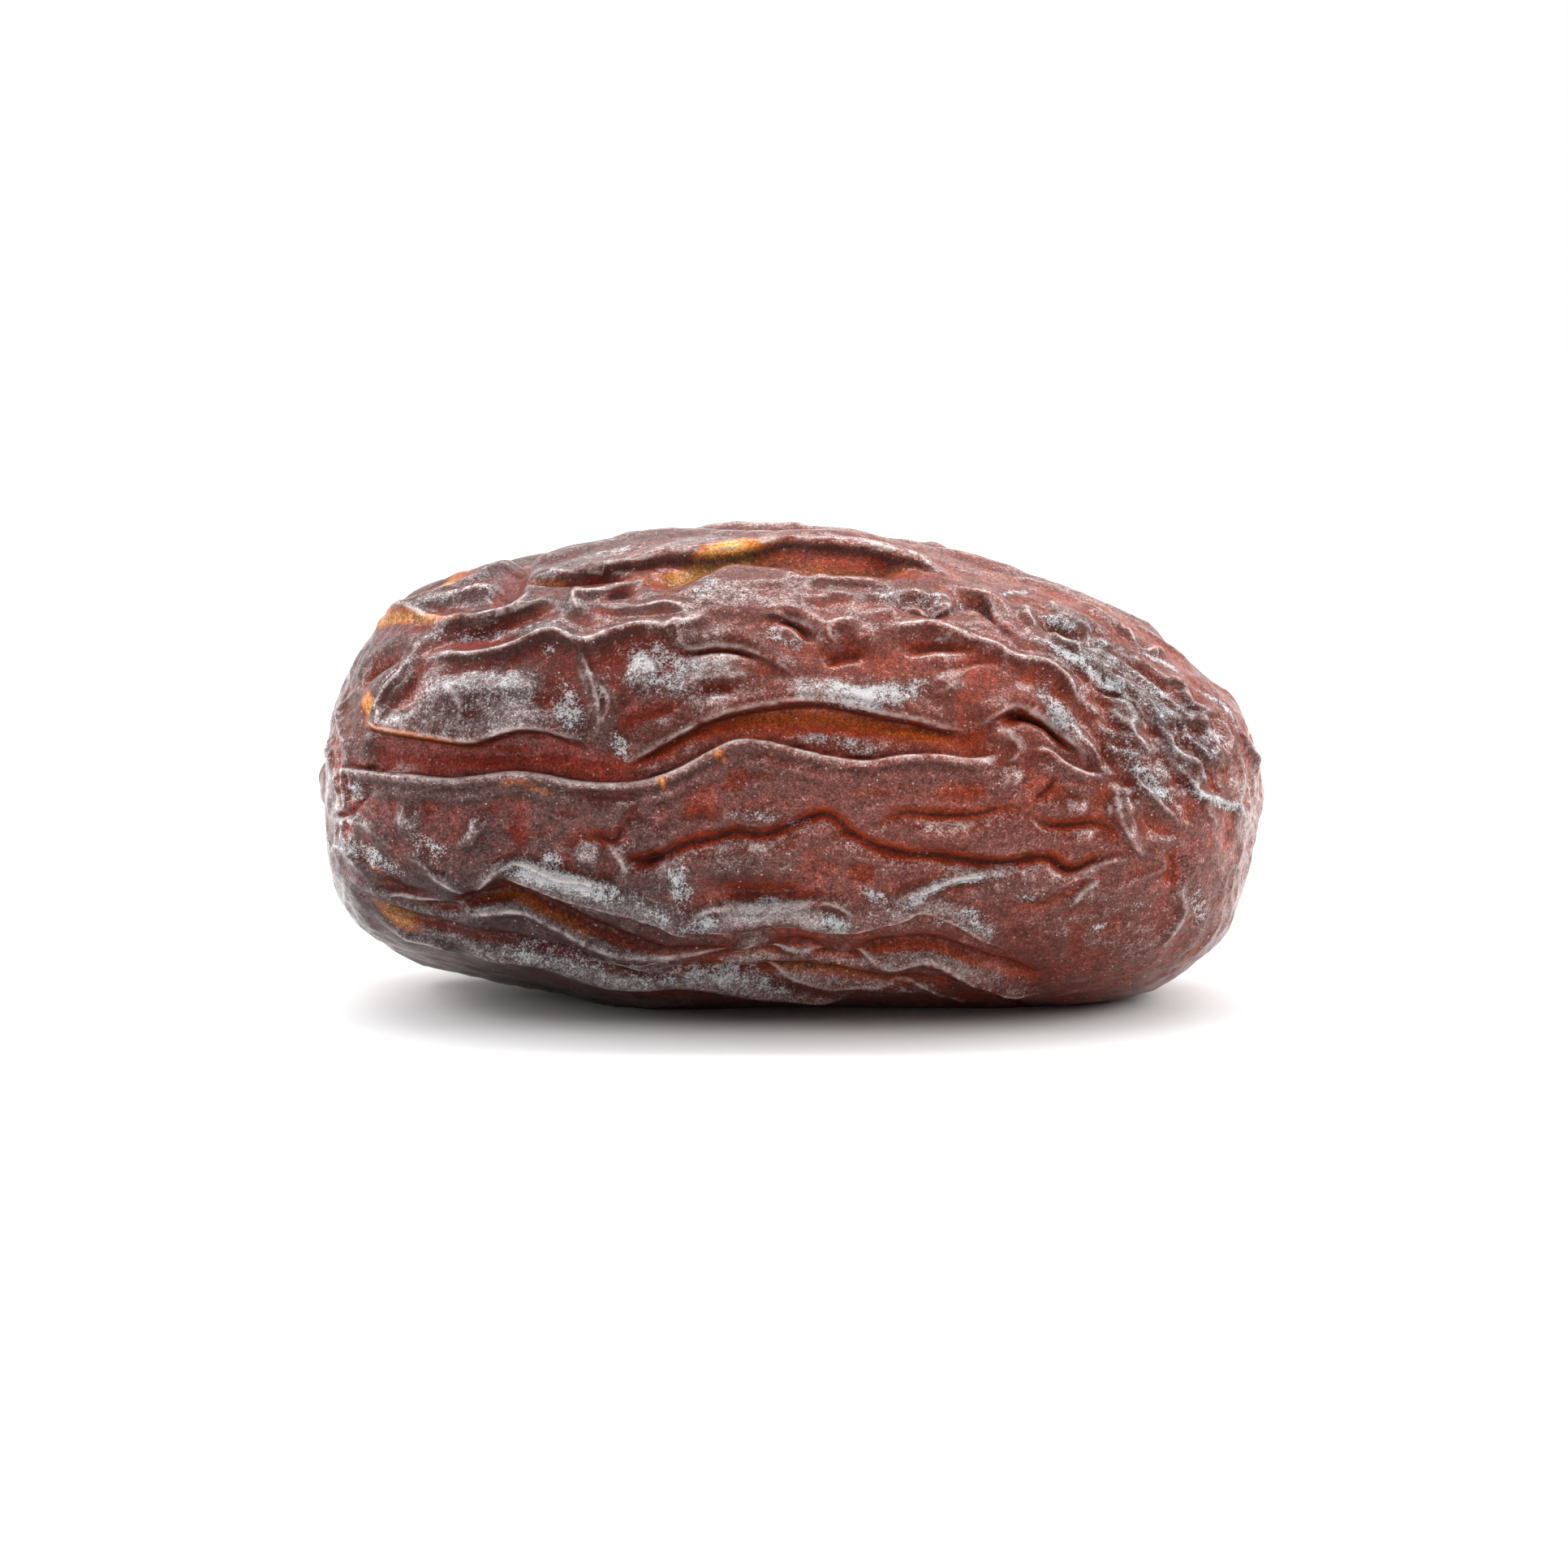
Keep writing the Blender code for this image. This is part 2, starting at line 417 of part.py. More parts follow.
class Line:
    """A fold laid on the body as a smooth line of short chords."""

    CHORD = 0.3

    def __init__(self, form, height, width, points):
        self.form, self.height, self.width = form, height, max(width, NARROWEST)
        steps = np.linalg.norm(np.diff(points, axis=0), axis=1)
        along = np.concatenate([[0.0], np.cumsum(steps)])
        count = max(4, int(along[-1] / self.CHORD))
        line = smooth_through(np.linspace(0, along[-1], count), along, points)
        self.start = line[:-1]
        self.chord = np.diff(line, axis=0)
        self.squared = np.maximum((self.chord**2).sum(axis=1), 1e-12)
        lengths = np.sqrt(self.squared)
        self.before = np.concatenate([[0.0], np.cumsum(lengths)[:-1]])
        self.lengths = lengths
        self.total = lengths.sum()
        self.low = line.min(axis=0)
        self.high = line.max(axis=0)

    def near(self, points):
        """Which points the fold is felt at."""
        reach = REACH * self.width
        return np.where(((points > self.low - reach) & (points < self.high + reach)).all(axis=1))[0]

    def locate(self, points, normals):
        """The signed distance, positive on the left of the fold's run, the way to that side, and the fade."""
        offset = points[:, None, :] - self.start[None]
        share = np.clip((offset * self.chord).sum(axis=2) / self.squared, 0, 1)
        gap = offset - share[..., None] * self.chord
        squared = (gap**2).sum(axis=2)
        nearest = squared.argmin(axis=1)
        rows = np.arange(len(points))
        side = np.cross(normals, self.chord[nearest] / self.lengths[nearest, None])
        signed = np.sqrt(squared[rows, nearest]) * np.sign((side * gap[rows, nearest]).sum(axis=1))
        along = self.before[nearest] + share[rows, nearest] * self.lengths[nearest]
        fade = min(TAPER, self.total / 3)
        return signed, side, smooth_step(np.minimum(along, self.total - along) / fade)

    def shape(self, signed):
        """The fold's height at a signed distance from its line, and how far the skin leans there."""
        level = np.zeros_like(signed)
        if self.form in ("trough", "swell"):
            bump = np.exp(-((signed / self.width) ** 2))
            return self.height * bump * (1 if self.form == "swell" else -1), level
        if self.form in ("crest", "crease"):
            rounded = np.sqrt(signed**2 + CREST_ROUND**2) - CREST_ROUND
            bump = np.exp(-rounded / self.width)
            return self.height * bump * (1 if self.form == "crest" else -1), level
        toward = 1.0 if self.form == "lip_up" else -1.0
        drop = signed * toward
        gentle = np.exp(np.minimum(drop, 0) / (LIP_GENTLE * self.width))
        face = (1 + LIP_FOOT_DEPTH) * np.exp(-((drop / (LIP_FACE * self.width)) ** 2))
        foot = LIP_FOOT_DEPTH * np.exp(-((drop / (LIP_FOOT * self.width)) ** 2))
        height = self.height * np.where(drop < 0, gentle, face - foot)
        lean = toward * LIP_LEAN * self.height * np.exp(-((signed / (1.5 * self.width)) ** 2))
        return height, lean


def far_copy(body, points):
    """The fold's points carried round to the far side, and bent so that the two sides differ."""
    lengthwise, around = body.angles(points)
    bent = around + FAR_TURN + FAR_WAVE * np.sin(2.3 * lengthwise + 1.1)
    moved = np.clip(lengthwise + 0.09 * np.sin(3.0 * around + 0.7) * np.sin(lengthwise), 0.05, math.pi - 0.05)
    return body.point(moved, bent)


def all_lines(body):
    """Every fold laid on the body: the ones seen, their far copies and the hidden ones."""
    viewer = Viewer()
    lines = []
    for form, folds in SEEN_FOLDS.items():
        for fold in folds.values():
            seen = viewer.onto(body, fold.seen)
            lines.append(Line(form, fold.height, fold.width, seen))
            lines.append(Line(form, fold.height, fold.width, far_copy(body, seen)))
    for form, height, width, places in HIDDEN_FOLDS.values():
        along, around = np.array(places, float).T
        points = body.point(np.arccos(-2 * along / LENGTH), np.radians(around))
        lines.append(Line(form, height, width, points))
    return lines


def wrinkle(point):
    """Height of the fine wrinkles at a point: crests of warped noise, drawn out along the date."""
    p = Vector((point[0] / WRINKLE_STRETCH, point[1], point[2])) / WRINKLE_SPACING
    bent = p + 0.6 * noise.noise_vector(p * 0.7)
    return WRINKLE_HEIGHT * (0.55 - 2.2 * abs(noise.noise(bent)))


def end_marks(lengthwise, body):
    """The dimple and button at the stem end and the point at the tip, as a displacement along X."""
    radius = np.sin(lengthwise) * body.high_share[0]
    at_stem = np.cos(lengthwise) > 0
    dimple = STEM_DIMPLE_DEPTH * np.exp(-((radius / STEM_DIMPLE_RADIUS) ** 2))
    button = STEM_BUTTON_HEIGHT * np.exp(-((radius / STEM_BUTTON_RADIUS) ** 4))
    tip = TIP_POINT_HEIGHT * np.exp(-((radius / TIP_POINT_RADIUS) ** 2))
    return np.where(at_stem, dimple - button, tip)


def rest_mask(points):
    """0 on the spot that the date rests on and 1 away from it, so that the folds leave it plain."""
    across = (points[:, 0] - REST_CENTRE[0]) / REST_REACH[0]
    deep = (points[:, 1] - REST_CENTRE[1]) / REST_REACH[1]
    outward = np.sqrt(across**2 + deep**2) - 1
    under = points[:, 2] < 4.0
    return np.where(under, smooth_step(outward * REST_REACH[1] / REST_BLEND), 1.0)


def fold_skin(body, lengthwise, around):
    """Points of the folded skin, above the points of the plain form at these angles."""
    points, normals = body.point(lengthwise, around), body.normals(lengthwise, around)
    raised = np.zeros(len(points))
    leaned = np.zeros_like(points)
    for line in all_lines(body):
        near = line.near(points)
        if not len(near):
            continue
        signed, side, fade = line.locate(points[near], normals[near])
        height, lean = line.shape(signed)
        raised[near] += height * fade
        leaned[near] += side * (lean * fade)[:, None]
    raised += np.array([wrinkle(p) for p in points])
    mask = rest_mask(points)
    moved = points + normals * (raised * mask)[:, None] + leaned * mask[:, None]
    moved[:, 0] += end_marks(lengthwise, body)
    moved[:, 2] = np.maximum(moved[:, 2], 0)
    return np.round(moved, DECIMALS)


def in_fixed_order(shape):
    """The same mesh, with its vertices and faces in an order that never changes from run to run."""
    ordered = bmesh.new()
    corners = sorted(shape.verts, key=lambda v: tuple(v.co))
    place = {vertex: number for number, vertex in enumerate(corners)}
    fresh = [ordered.verts.new(vertex.co) for vertex in corners]
    loops = []
    for face in shape.faces:
        numbers = [place[vertex] for vertex in face.verts]
        first = numbers.index(min(numbers))
        loops.append(numbers[first:] + numbers[:first])
    for numbers in sorted(loops):
        ordered.faces.new([fresh[number] for number in numbers])
    shape.free()
    return ordered


def plain_form():
    """A fine mesh with its poles at the stem and the tip, and its vertices' lengthwise and around angles."""
    mesh = bmesh.new()
    bmesh.ops.create_uvsphere(mesh, u_segments=ROUND_SEGMENTS, v_segments=LONG_SEGMENTS, radius=1.0)
    mesh = in_fixed_order(mesh)
    unit = np.array([v.co for v in mesh.verts])
    lengthwise = np.arccos(np.clip(-unit[:, 2], -1, 1))
    around = np.arctan2(-unit[:, 1], unit[:, 0])
    return mesh, lengthwise, around


def thinned(mesh_object):
    """The object's mesh with its faces thinned to the wanted number, kept closest where it bends most."""
    mesh_object.data.calc_loop_triangles()
    thin = mesh_object.modifiers.new("thin", "DECIMATE")
    thin.ratio = TRIANGLES / len(mesh_object.data.loop_triangles)
    graph = bpy.context.evaluated_depsgraph_get()
    mesh = bpy.data.meshes.new_from_object(mesh_object.evaluated_get(graph))
    mesh_object.modifiers.remove(thin)
    return mesh


def level_underside(mesh):
    """Puts the spot that the date rests on exactly at z = 0, and centres the date over the origin."""
    corners = np.array([v.co for v in mesh.vertices])
    corners[corners[:, 2] < LEVEL_WITHIN * METRES, 2] = 0.0
    corners[:, :2] -= (corners[:, :2].min(axis=0) + corners[:, :2].max(axis=0)) / 2
    mesh.vertices.foreach_set("co", corners.ravel())
    mesh.update()


def skin_material():
    material = bpy.data.materials.new("date_skin")
    material.use_nodes = True
    shader = material.node_tree.nodes["Principled BSDF"]
    shader.inputs["Base Color"].default_value = SKIN_COLOUR
    shader.inputs["Roughness"].default_value = SKIN_ROUGHNESS
    shader.inputs["Metallic"].default_value = 0.0
    return material


def build_date():
    """The whole date as one solid, centred over the origin and lying on z = 0."""
    body = Body()
    form, lengthwise, around = plain_form()
    for vertex, place in zip(form.verts, fold_skin(body, lengthwise, around)):
        vertex.co = Vector(place) * METRES
    mesh = bpy.data.meshes.new("date_fruit")
    form.to_mesh(mesh)
    form.free()
    date = bpy.data.objects.new("date_fruit", mesh)
    bpy.context.scene.collection.objects.link(date)
    date.data = thinned(date)
    level_underside(date.data)
    date.data.materials.append(skin_material())
    date.data.shade_smooth()
    return date


def clear_scene():
    for old in list(bpy.data.objects):
        bpy.data.objects.remove(old)


clear_scene()
build_date()
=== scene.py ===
"""The looks of a medjool date: one dried fruit lying on its side, seen in soft light on a white table.

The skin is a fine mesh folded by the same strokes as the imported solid, which it stands for. Lengths are in
millimetres until the mesh is made. The strokes are given by where they are seen in the photograph's own
1932 x 1932 frame, and are laid on the date's plain form from there.
"""

import logging
import math
from dataclasses import dataclass
from enum import Enum
from itertools import product
from typing import Any

import bmesh
import bpy
import numpy as np
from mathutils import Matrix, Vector


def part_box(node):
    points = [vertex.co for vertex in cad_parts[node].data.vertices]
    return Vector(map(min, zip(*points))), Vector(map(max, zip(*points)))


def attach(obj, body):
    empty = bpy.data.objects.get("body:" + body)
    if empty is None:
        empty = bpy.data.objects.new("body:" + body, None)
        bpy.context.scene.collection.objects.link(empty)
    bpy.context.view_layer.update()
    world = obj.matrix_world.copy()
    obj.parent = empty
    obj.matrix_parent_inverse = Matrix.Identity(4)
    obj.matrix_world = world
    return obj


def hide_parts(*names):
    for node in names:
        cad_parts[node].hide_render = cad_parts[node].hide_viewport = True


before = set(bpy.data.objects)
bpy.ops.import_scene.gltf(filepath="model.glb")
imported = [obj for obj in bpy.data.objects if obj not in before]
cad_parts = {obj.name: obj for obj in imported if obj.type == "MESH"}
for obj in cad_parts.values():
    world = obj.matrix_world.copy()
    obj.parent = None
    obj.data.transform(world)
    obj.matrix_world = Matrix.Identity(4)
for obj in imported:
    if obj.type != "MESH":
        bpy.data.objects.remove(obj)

log = logging.getLogger("date")

METRES = 0.001
NODE = "date_fruit"
Colour = tuple[float, float, float, float]
Pixels = tuple[tuple[int, int], ...]


class Form(Enum):
    """How the skin rises or sinks along a stroke."""

    TROUGH = "a wide sunken channel"
    SWELL = "a wide raised pillow"
    UPPER_LIP = "an edge that drops away on its upper side"
    LOWER_LIP = "an edge that drops away on its lower side"
    CREST = "a ridge that falls away on both sides"
    CREASE = "a sharp valley between two pillows"


@dataclass(frozen=True)
class Fold:
    """A stroke of raised or sunken skin.

    Attributes:
        height: how far it rises or sinks, in mm.
        width: its half width, in mm.
        seen: the pixels that it passes through.
    """

    height: float
    width: float
    seen: Pixels


@dataclass(frozen=True)
class Patch:
    """A soft stroke that marks where something is on the skin.

    Attributes:
        strength: how strong the mark is at its middle, 0 to 1.
        width: its half width, in mm.
        seen: the pixels that it passes through.
    """

    strength: float
    width: float
    seen: Pixels


# Wide sunken channels, left to right in the photograph
TROUGHS = {
    "top_channel": Fold(0.85, 0.95, ((790, 720), (830, 709), (865, 688), (905, 679), (955, 681), (1005, 687),
                                     (1065, 692), (1130, 699))),
    "great_channel": Fold(0.55, 0.85, ((448, 925), (500, 932), (560, 935), (620, 930), (680, 932),
                                       (740, 940), (790, 932), (840, 908), (880, 892), (940, 884),
                                       (1000, 884), (1060, 890), (1120, 899), (1180, 908), (1225, 916))),
    "arch_pocket": Fold(0.85, 0.55, ((1225, 897), (1252, 884), (1280, 893), (1306, 914), (1330, 932))),
    "upper_low_channel": Fold(0.8, 0.5, ((455, 1084), (500, 1097), (560, 1108), (600, 1103), (640, 1101),
                                         (680, 1116), (720, 1133), (770, 1153), (820, 1167), (860, 1169),
                                         (920, 1161), (980, 1159), (1040, 1166), (1100, 1160), (1150, 1160),
                                         (1200, 1178), (1250, 1198), (1285, 1209))),
    "lower_low_channel": Fold(0.7, 0.42, ((462, 1112), (520, 1126), (580, 1138), (640, 1148), (700, 1163),
                                          (750, 1180), (800, 1189), (860, 1189), (920, 1184), (960, 1181),
                                          (1010, 1193), (1060, 1203), (1110, 1208), (1150, 1203))),
    "stem_notch_trough": Fold(0.7, 0.6, ((436, 850), (448, 832), (470, 815), (500, 806))),
    "shoulder_trough": Fold(0.35, 0.5, ((530, 786), (600, 781), (650, 766), (700, 752))),
    "speckled_pocket": Fold(0.5, 0.35, ((820, 807), (860, 805), (905, 804), (945, 814))),
    "small_pocket": Fold(0.35, 0.4, ((852, 850), (880, 846), (912, 849))),
    "slanting_pocket": Fold(0.45, 0.4, ((748, 893), (790, 881), (830, 872), (852, 868))),
    "hook_pocket": Fold(0.5, 0.35, ((735, 735), (762, 736), (786, 729))),
    "upper_pocket": Fold(0.5, 0.4, ((948, 762), (978, 775), (998, 790), (1012, 802))),
    "middle_pocket": Fold(0.55, 0.42, ((1005, 818), (1040, 812), (1075, 806))),
    "long_pocket": Fold(0.55, 0.36, ((1092, 805), (1130, 805), (1180, 802), (1215, 804))),
    "crown_pocket": Fold(0.6, 0.4, ((1095, 742), (1130, 755), (1162, 764))),
    "tent_pocket": Fold(0.65, 0.5, ((1170, 746), (1200, 743), (1222, 762), (1240, 778))),
    "shoulder_pocket": Fold(0.6, 0.45, ((1262, 765), (1290, 785), (1330, 798), (1355, 808))),
    "dark_red_pocket": Fold(0.5, 0.36, ((1375, 852), (1398, 868), (1415, 891))),
    "tip_pocket": Fold(0.35, 0.4, ((1440, 885), (1465, 895), (1487, 906))),
    "edge_pocket": Fold(0.35, 0.32, ((1360, 770), (1385, 785), (1410, 800), (1430, 812))),
    "grey_pocket": Fold(0.4, 0.5, ((1338, 848), (1355, 868), (1372, 888))),
    "centre_hollow": Fold(0.25, 0.8, ((835, 1000), (865, 990), (898, 995))),
    "belly_hollow": Fold(0.35, 0.45, ((875, 1088), (925, 1103), (980, 1099), (1022, 1101))),
    "small_belly_hollow": Fold(0.3, 0.3, ((1038, 1070), (1062, 1074), (1088, 1068))),
    "left_gully": Fold(0.24, 0.4, ((641, 985), (640, 1020), (642, 1052))),
    "crease_mouth": Fold(0.4, 0.36, ((762, 1054), (790, 1056), (818, 1044))),
    "red_trough": Fold(0.25, 0.5, ((1150, 960), (1190, 964), (1222, 970))),
    "right_gully": Fold(0.45, 0.45, ((1438, 1038), (1441, 1070), (1436, 1100))),
    "lower_right_gully": Fold(0.21, 0.4, ((1328, 1128), (1322, 1160), (1320, 1188))),
    "slanting_gully": Fold(0.3, 0.36, ((1245, 1122), (1290, 1111), (1330, 1091), (1372, 1074))),
}

# Wide raised pillows between the channels
SWELLS = {
    "left_pillow": Fold(0.5, 1.25, ((505, 850), (560, 850), (620, 852), (680, 858))),
    "flap_pillow": Fold(0.45, 0.6, ((478, 764), (530, 745), (580, 733), (628, 718))),
    "stem_pillow": Fold(0.4, 0.9, ((485, 1003), (525, 1010))),
    "second_pillow": Fold(0.35, 0.85, ((572, 1020), (592, 1035))),
    "small_pillow": Fold(0.3, 0.65, ((705, 1052), (742, 1058))),
    "bloom_shelf": Fold(0.35, 0.36, ((620, 1078), (660, 1086), (710, 1098), (765, 1104))),
    "bloom_pillow": Fold(0.5, 0.45, ((865, 1140), (920, 1134), (980, 1131), (1038, 1140))),
    "belly_pillow": Fold(0.3, 1.0, ((860, 1070), (930, 1065), (1000, 1060))),
    "centre_pillow": Fold(0.3, 1.0, ((900, 958), (980, 962), (1065, 970))),
    "right_pillow": Fold(0.3, 0.5, ((1115, 1022), (1170, 1026), (1215, 1030))),
    "leaf": Fold(0.25, 0.5, ((1228, 955), (1264, 962))),
    "upper_lobe": Fold(0.25, 0.4, ((1308, 998), (1345, 998))),
    "lower_lobe": Fold(0.2, 0.35, ((1318, 1034), (1348, 1032))),
    "speckled_pillow": Fold(0.35, 0.8, ((770, 820), (812, 832))),
    "crown_pillow": Fold(0.25, 0.5, ((1112, 728), (1148, 735))),
    "middle_pillow": Fold(0.25, 0.4, ((1045, 784), (1085, 786))),
    "underside_band": Fold(0.5, 0.75, ((560, 1163), (650, 1182), (740, 1206), (840, 1212), (950, 1220),
                                       (1060, 1228))),
    "wrinkled_band": Fold(0.35, 0.36, ((1384, 968), (1394, 1005), (1408, 1046))),
}

# Edges of skin that stand up and drop away steeply on their upper side
UPPER_LIPS = {
    "mid_crest": Fold(0.7, 0.32, ((412, 950), (450, 952), (500, 956), (545, 961), (590, 957), (625, 952),
                                  (655, 954), (700, 963), (740, 967), (797, 962), (840, 945), (875, 925),
                                  (905, 911), (940, 912), (975, 921), (1020, 932), (1070, 938), (1110, 931),
                                  (1150, 929), (1205, 934), (1238, 929))),
    "right_crest": Fold(0.5, 0.3, ((1262, 922), (1290, 922), (1312, 936), (1335, 948), (1370, 960))),
    "stem_notch": Fold(0.5, 0.28, ((450, 885), (457, 862), (466, 845), (482, 828), (500, 810))),
}

# Edges of skin that stand up and drop away steeply on their lower side
LOWER_LIPS = {
    "channel_roof": Fold(0.5, 0.32, ((762, 946), (800, 925), (835, 905), (868, 887), (900, 875), (945, 866),
                                     (1000, 861), (1045, 867), (1090, 878), (1135, 887), (1165, 896),
                                     (1198, 901))),
    "arch": Fold(0.5, 0.3, ((1202, 899), (1222, 883), (1250, 868), (1275, 873), (1300, 893), (1325, 917),
                            (1345, 936))),
    "pillow_sill": Fold(0.6, 0.3, ((445, 888), (480, 900), (530, 908), (580, 913), (610, 903), (638, 896),
                                   (670, 899), (700, 908), (728, 919))),
    "top_lip": Fold(0.6, 0.34, ((690, 706), (740, 699), (780, 692), (820, 684), (860, 677), (905, 672),
                                (970, 669), (1000, 671), (1040, 675), (1080, 680), (1110, 688), (1145, 699),
                                (1172, 709))),
    "pocket_roof": Fold(0.4, 0.26, ((818, 800), (850, 799), (885, 795), (918, 797), (945, 806), (965, 820),
                                    (986, 843))),
    "upper_pocket_roof": Fold(0.4, 0.26, ((930, 757), (965, 755), (988, 764), (1003, 775), (1014, 789))),
    "crown_edge": Fold(0.4, 0.26, ((1088, 741), (1108, 737), (1125, 745), (1145, 753), (1162, 748),
                                   (1172, 735))),
    "tent_edge": Fold(0.45, 0.26, ((1185, 724), (1203, 729), (1218, 743), (1227, 758), (1242, 772),
                                   (1264, 782))),
    "tip_roof": Fold(0.4, 0.26, ((1348, 836), (1375, 843), (1402, 862), (1410, 880), (1424, 897))),
    "shelf_sill": Fold(0.5, 0.28, ((600, 1085), (640, 1094), (680, 1109), (720, 1120), (770, 1134),
                                   (810, 1146), (832, 1159), (870, 1156), (905, 1155), (935, 1150),
                                   (980, 1148), (1020, 1155), (1045, 1155), (1085, 1147), (1112, 1140),
                                   (1135, 1129), (1160, 1138), (1200, 1159), (1244, 1174))),
}

# Ridges of skin that stand up and fall away on both sides
CRESTS = {
    "shoulder_crest": Fold(0.5, 0.36, ((520, 806), (560, 799), (605, 797), (640, 787), (665, 776),
                                       (680, 774), (700, 782), (718, 785), (745, 775), (780, 764),
                                       (830, 760), (880, 758))),
    "flap_spine": Fold(0.4, 0.3, ((505, 750), (540, 735), (580, 718), (620, 700), (645, 691))),
    "flap_edge": Fold(0.4, 0.3, ((462, 766), (500, 757), (550, 757), (600, 753), (630, 745), (654, 726))),
    "flap_foot": Fold(0.3, 0.24, ((560, 768), (605, 762), (628, 756), (655, 740), (688, 727))),
    "slit_roof": Fold(0.3, 0.24, ((662, 702), (690, 708), (740, 703), (775, 702), (788, 710))),
    "left_seam": Fold(0.4, 0.34, ((705, 786), (718, 810), (728, 838), (736, 868), (736, 895), (728, 917))),
    "second_seam": Fold(0.32, 0.28, ((724, 818), (737, 842), (748, 862), (743, 882), (738, 910))),
    "hook": Fold(0.3, 0.22, ((716, 722), (705, 735), (712, 748), (730, 759))),
    "hook_tail": Fold(0.25, 0.22, ((728, 745), (760, 745), (790, 742), (822, 738), (836, 743), (848, 755),
                                   (872, 757))),
    "upright_crest": Fold(0.3, 0.22, ((826, 758), (835, 772), (839, 788), (852, 800))),
    "small_arch": Fold(0.25, 0.24, ((830, 857), (840, 843), (862, 833), (895, 830), (938, 829))),
    "pillow_edge": Fold(0.25, 0.22, ((1060, 764), (1025, 766), (1020, 774), (1028, 790), (1042, 801))),
    "long_right_crest": Fold(0.35, 0.26, ((1080, 777), (1105, 768), (1145, 765), (1190, 778), (1225, 786),
                                          (1250, 802), (1290, 809), (1312, 823), (1325, 845), (1332, 874))),
    "arch_back": Fold(0.3, 0.22, ((1238, 863), (1252, 857), (1270, 864), (1300, 889), (1330, 914),
                                  (1348, 924))),
    "curl": Fold(0.25, 0.2, ((1210, 906), (1238, 903), (1255, 914), (1257, 926), (1246, 937), (1230, 938))),
    "band_crest": Fold(0.4, 0.22, ((1366, 958), (1374, 975), (1380, 1000), (1390, 1022), (1400, 1042),
                                   (1415, 1062))),
    "bloom_ridge": Fold(0.35, 0.26, ((1092, 1123), (1120, 1104), (1150, 1097), (1180, 1083), (1215, 1078),
                                     (1250, 1072))),
    "shelf_edge": Fold(0.35, 0.22, ((580, 1103), (598, 1088), (615, 1072), (640, 1065), (662, 1073),
                                    (690, 1084), (720, 1087), (755, 1093), (778, 1089))),
    "pillow_rim": Fold(0.35, 0.22, ((833, 1158), (845, 1143), (862, 1129), (885, 1122), (925, 1120),
                                    (960, 1121), (985, 1116), (1003, 1113), (1030, 1118), (1052, 1130),
                                    (1068, 1142))),
    "stem_panel_crest": Fold(0.3, 0.22, ((495, 1055), (518, 1068), (535, 1088), (558, 1100), (584, 1103))),
    "channel_divide": Fold(0.5, 0.28, ((448, 1092), (480, 1105), (520, 1110), (555, 1118), (578, 1126),
                                       (605, 1121), (640, 1119), (675, 1133), (710, 1150), (745, 1167),
                                       (785, 1180), (830, 1184), (875, 1180), (905, 1173), (928, 1166),
                                       (955, 1169), (990, 1178), (1040, 1184), (1095, 1185), (1140, 1180),
                                       (1168, 1186), (1190, 1199), (1215, 1211), (1255, 1221),
                                       (1287, 1222))),
    "low_left_crest": Fold(0.35, 0.24, ((478, 1134), (505, 1146), (535, 1163), (565, 1177))),
    "channel_floor_edge": Fold(0.3, 0.26, ((700, 1177), (750, 1191), (800, 1197), (860, 1197), (920, 1199),
                                           (1000, 1205), (1080, 1214), (1130, 1213), (1165, 1225),
                                           (1202, 1237))),
    "gusset": Fold(0.3, 0.22, ((742, 1037), (758, 1052), (768, 1072), (779, 1087))),
    "stem_left": Fold(0.3, 0.24, ((438, 848), (416, 878), (417, 900), (424, 922), (434, 941))),
    "stem_low": Fold(0.3, 0.24, ((404, 1040), (425, 1055), (445, 1075), (453, 1091))),
    "lower_right_crest": Fold(0.25, 0.24, ((1318, 1122), (1328, 1106), (1345, 1090), (1364, 1080))),
    "soft_right_crest": Fold(0.2, 0.3, ((1300, 1095), (1330, 1075), (1365, 1062), (1402, 1058))),
    "upright_right_crest": Fold(0.3, 0.3, ((1460, 1078), (1458, 1105), (1463, 1130), (1445, 1155),
                                           (1425, 1172))),
    "shoulder_wave": Fold(0.35, 0.24, ((1262, 738), (1272, 756), (1292, 774), (1315, 786), (1340, 793),
                                       (1362, 800), (1381, 818))),
    "shoulder_wave_2": Fold(0.25, 0.22, ((1288, 738), (1303, 752), (1327, 764))),
    "shoulder_wave_3": Fold(0.35, 0.24, ((1320, 730), (1342, 746), (1366, 764), (1385, 780), (1402, 796),
                                         (1442, 806))),
    "shoulder_wave_4": Fold(0.3, 0.24, ((1240, 695), (1262, 712), (1290, 719), (1314, 725))),
    "tip_wave": Fold(0.35, 0.24, ((1410, 815), (1435, 828), (1455, 843), (1470, 862), (1502, 880))),
    "tip_wave_2": Fold(0.3, 0.22, ((1425, 858), (1445, 876), (1475, 886), (1499, 897))),
    "tip_wave_3": Fold(0.25, 0.22, ((1355, 862), (1380, 880), (1400, 898), (1410, 915), (1427, 937))),
    "tip_wave_4": Fold(0.25, 0.22, ((1430, 925), (1450, 945), (1470, 955), (1478, 975), (1505, 985),
                                    (1537, 1001))),
    "tip_wave_5": Fold(0.25, 0.22, ((1400, 940), (1405, 960), (1425, 982), (1445, 1002), (1464, 1017))),
    "edge_wave": Fold(0.25, 0.24, ((1385, 748), (1410, 765), (1440, 787), (1470, 810), (1482, 826))),
    "tip_edge": Fold(0.3, 0.24, ((1520, 878), (1522, 900), (1532, 918), (1541, 935), (1545, 977))),
}

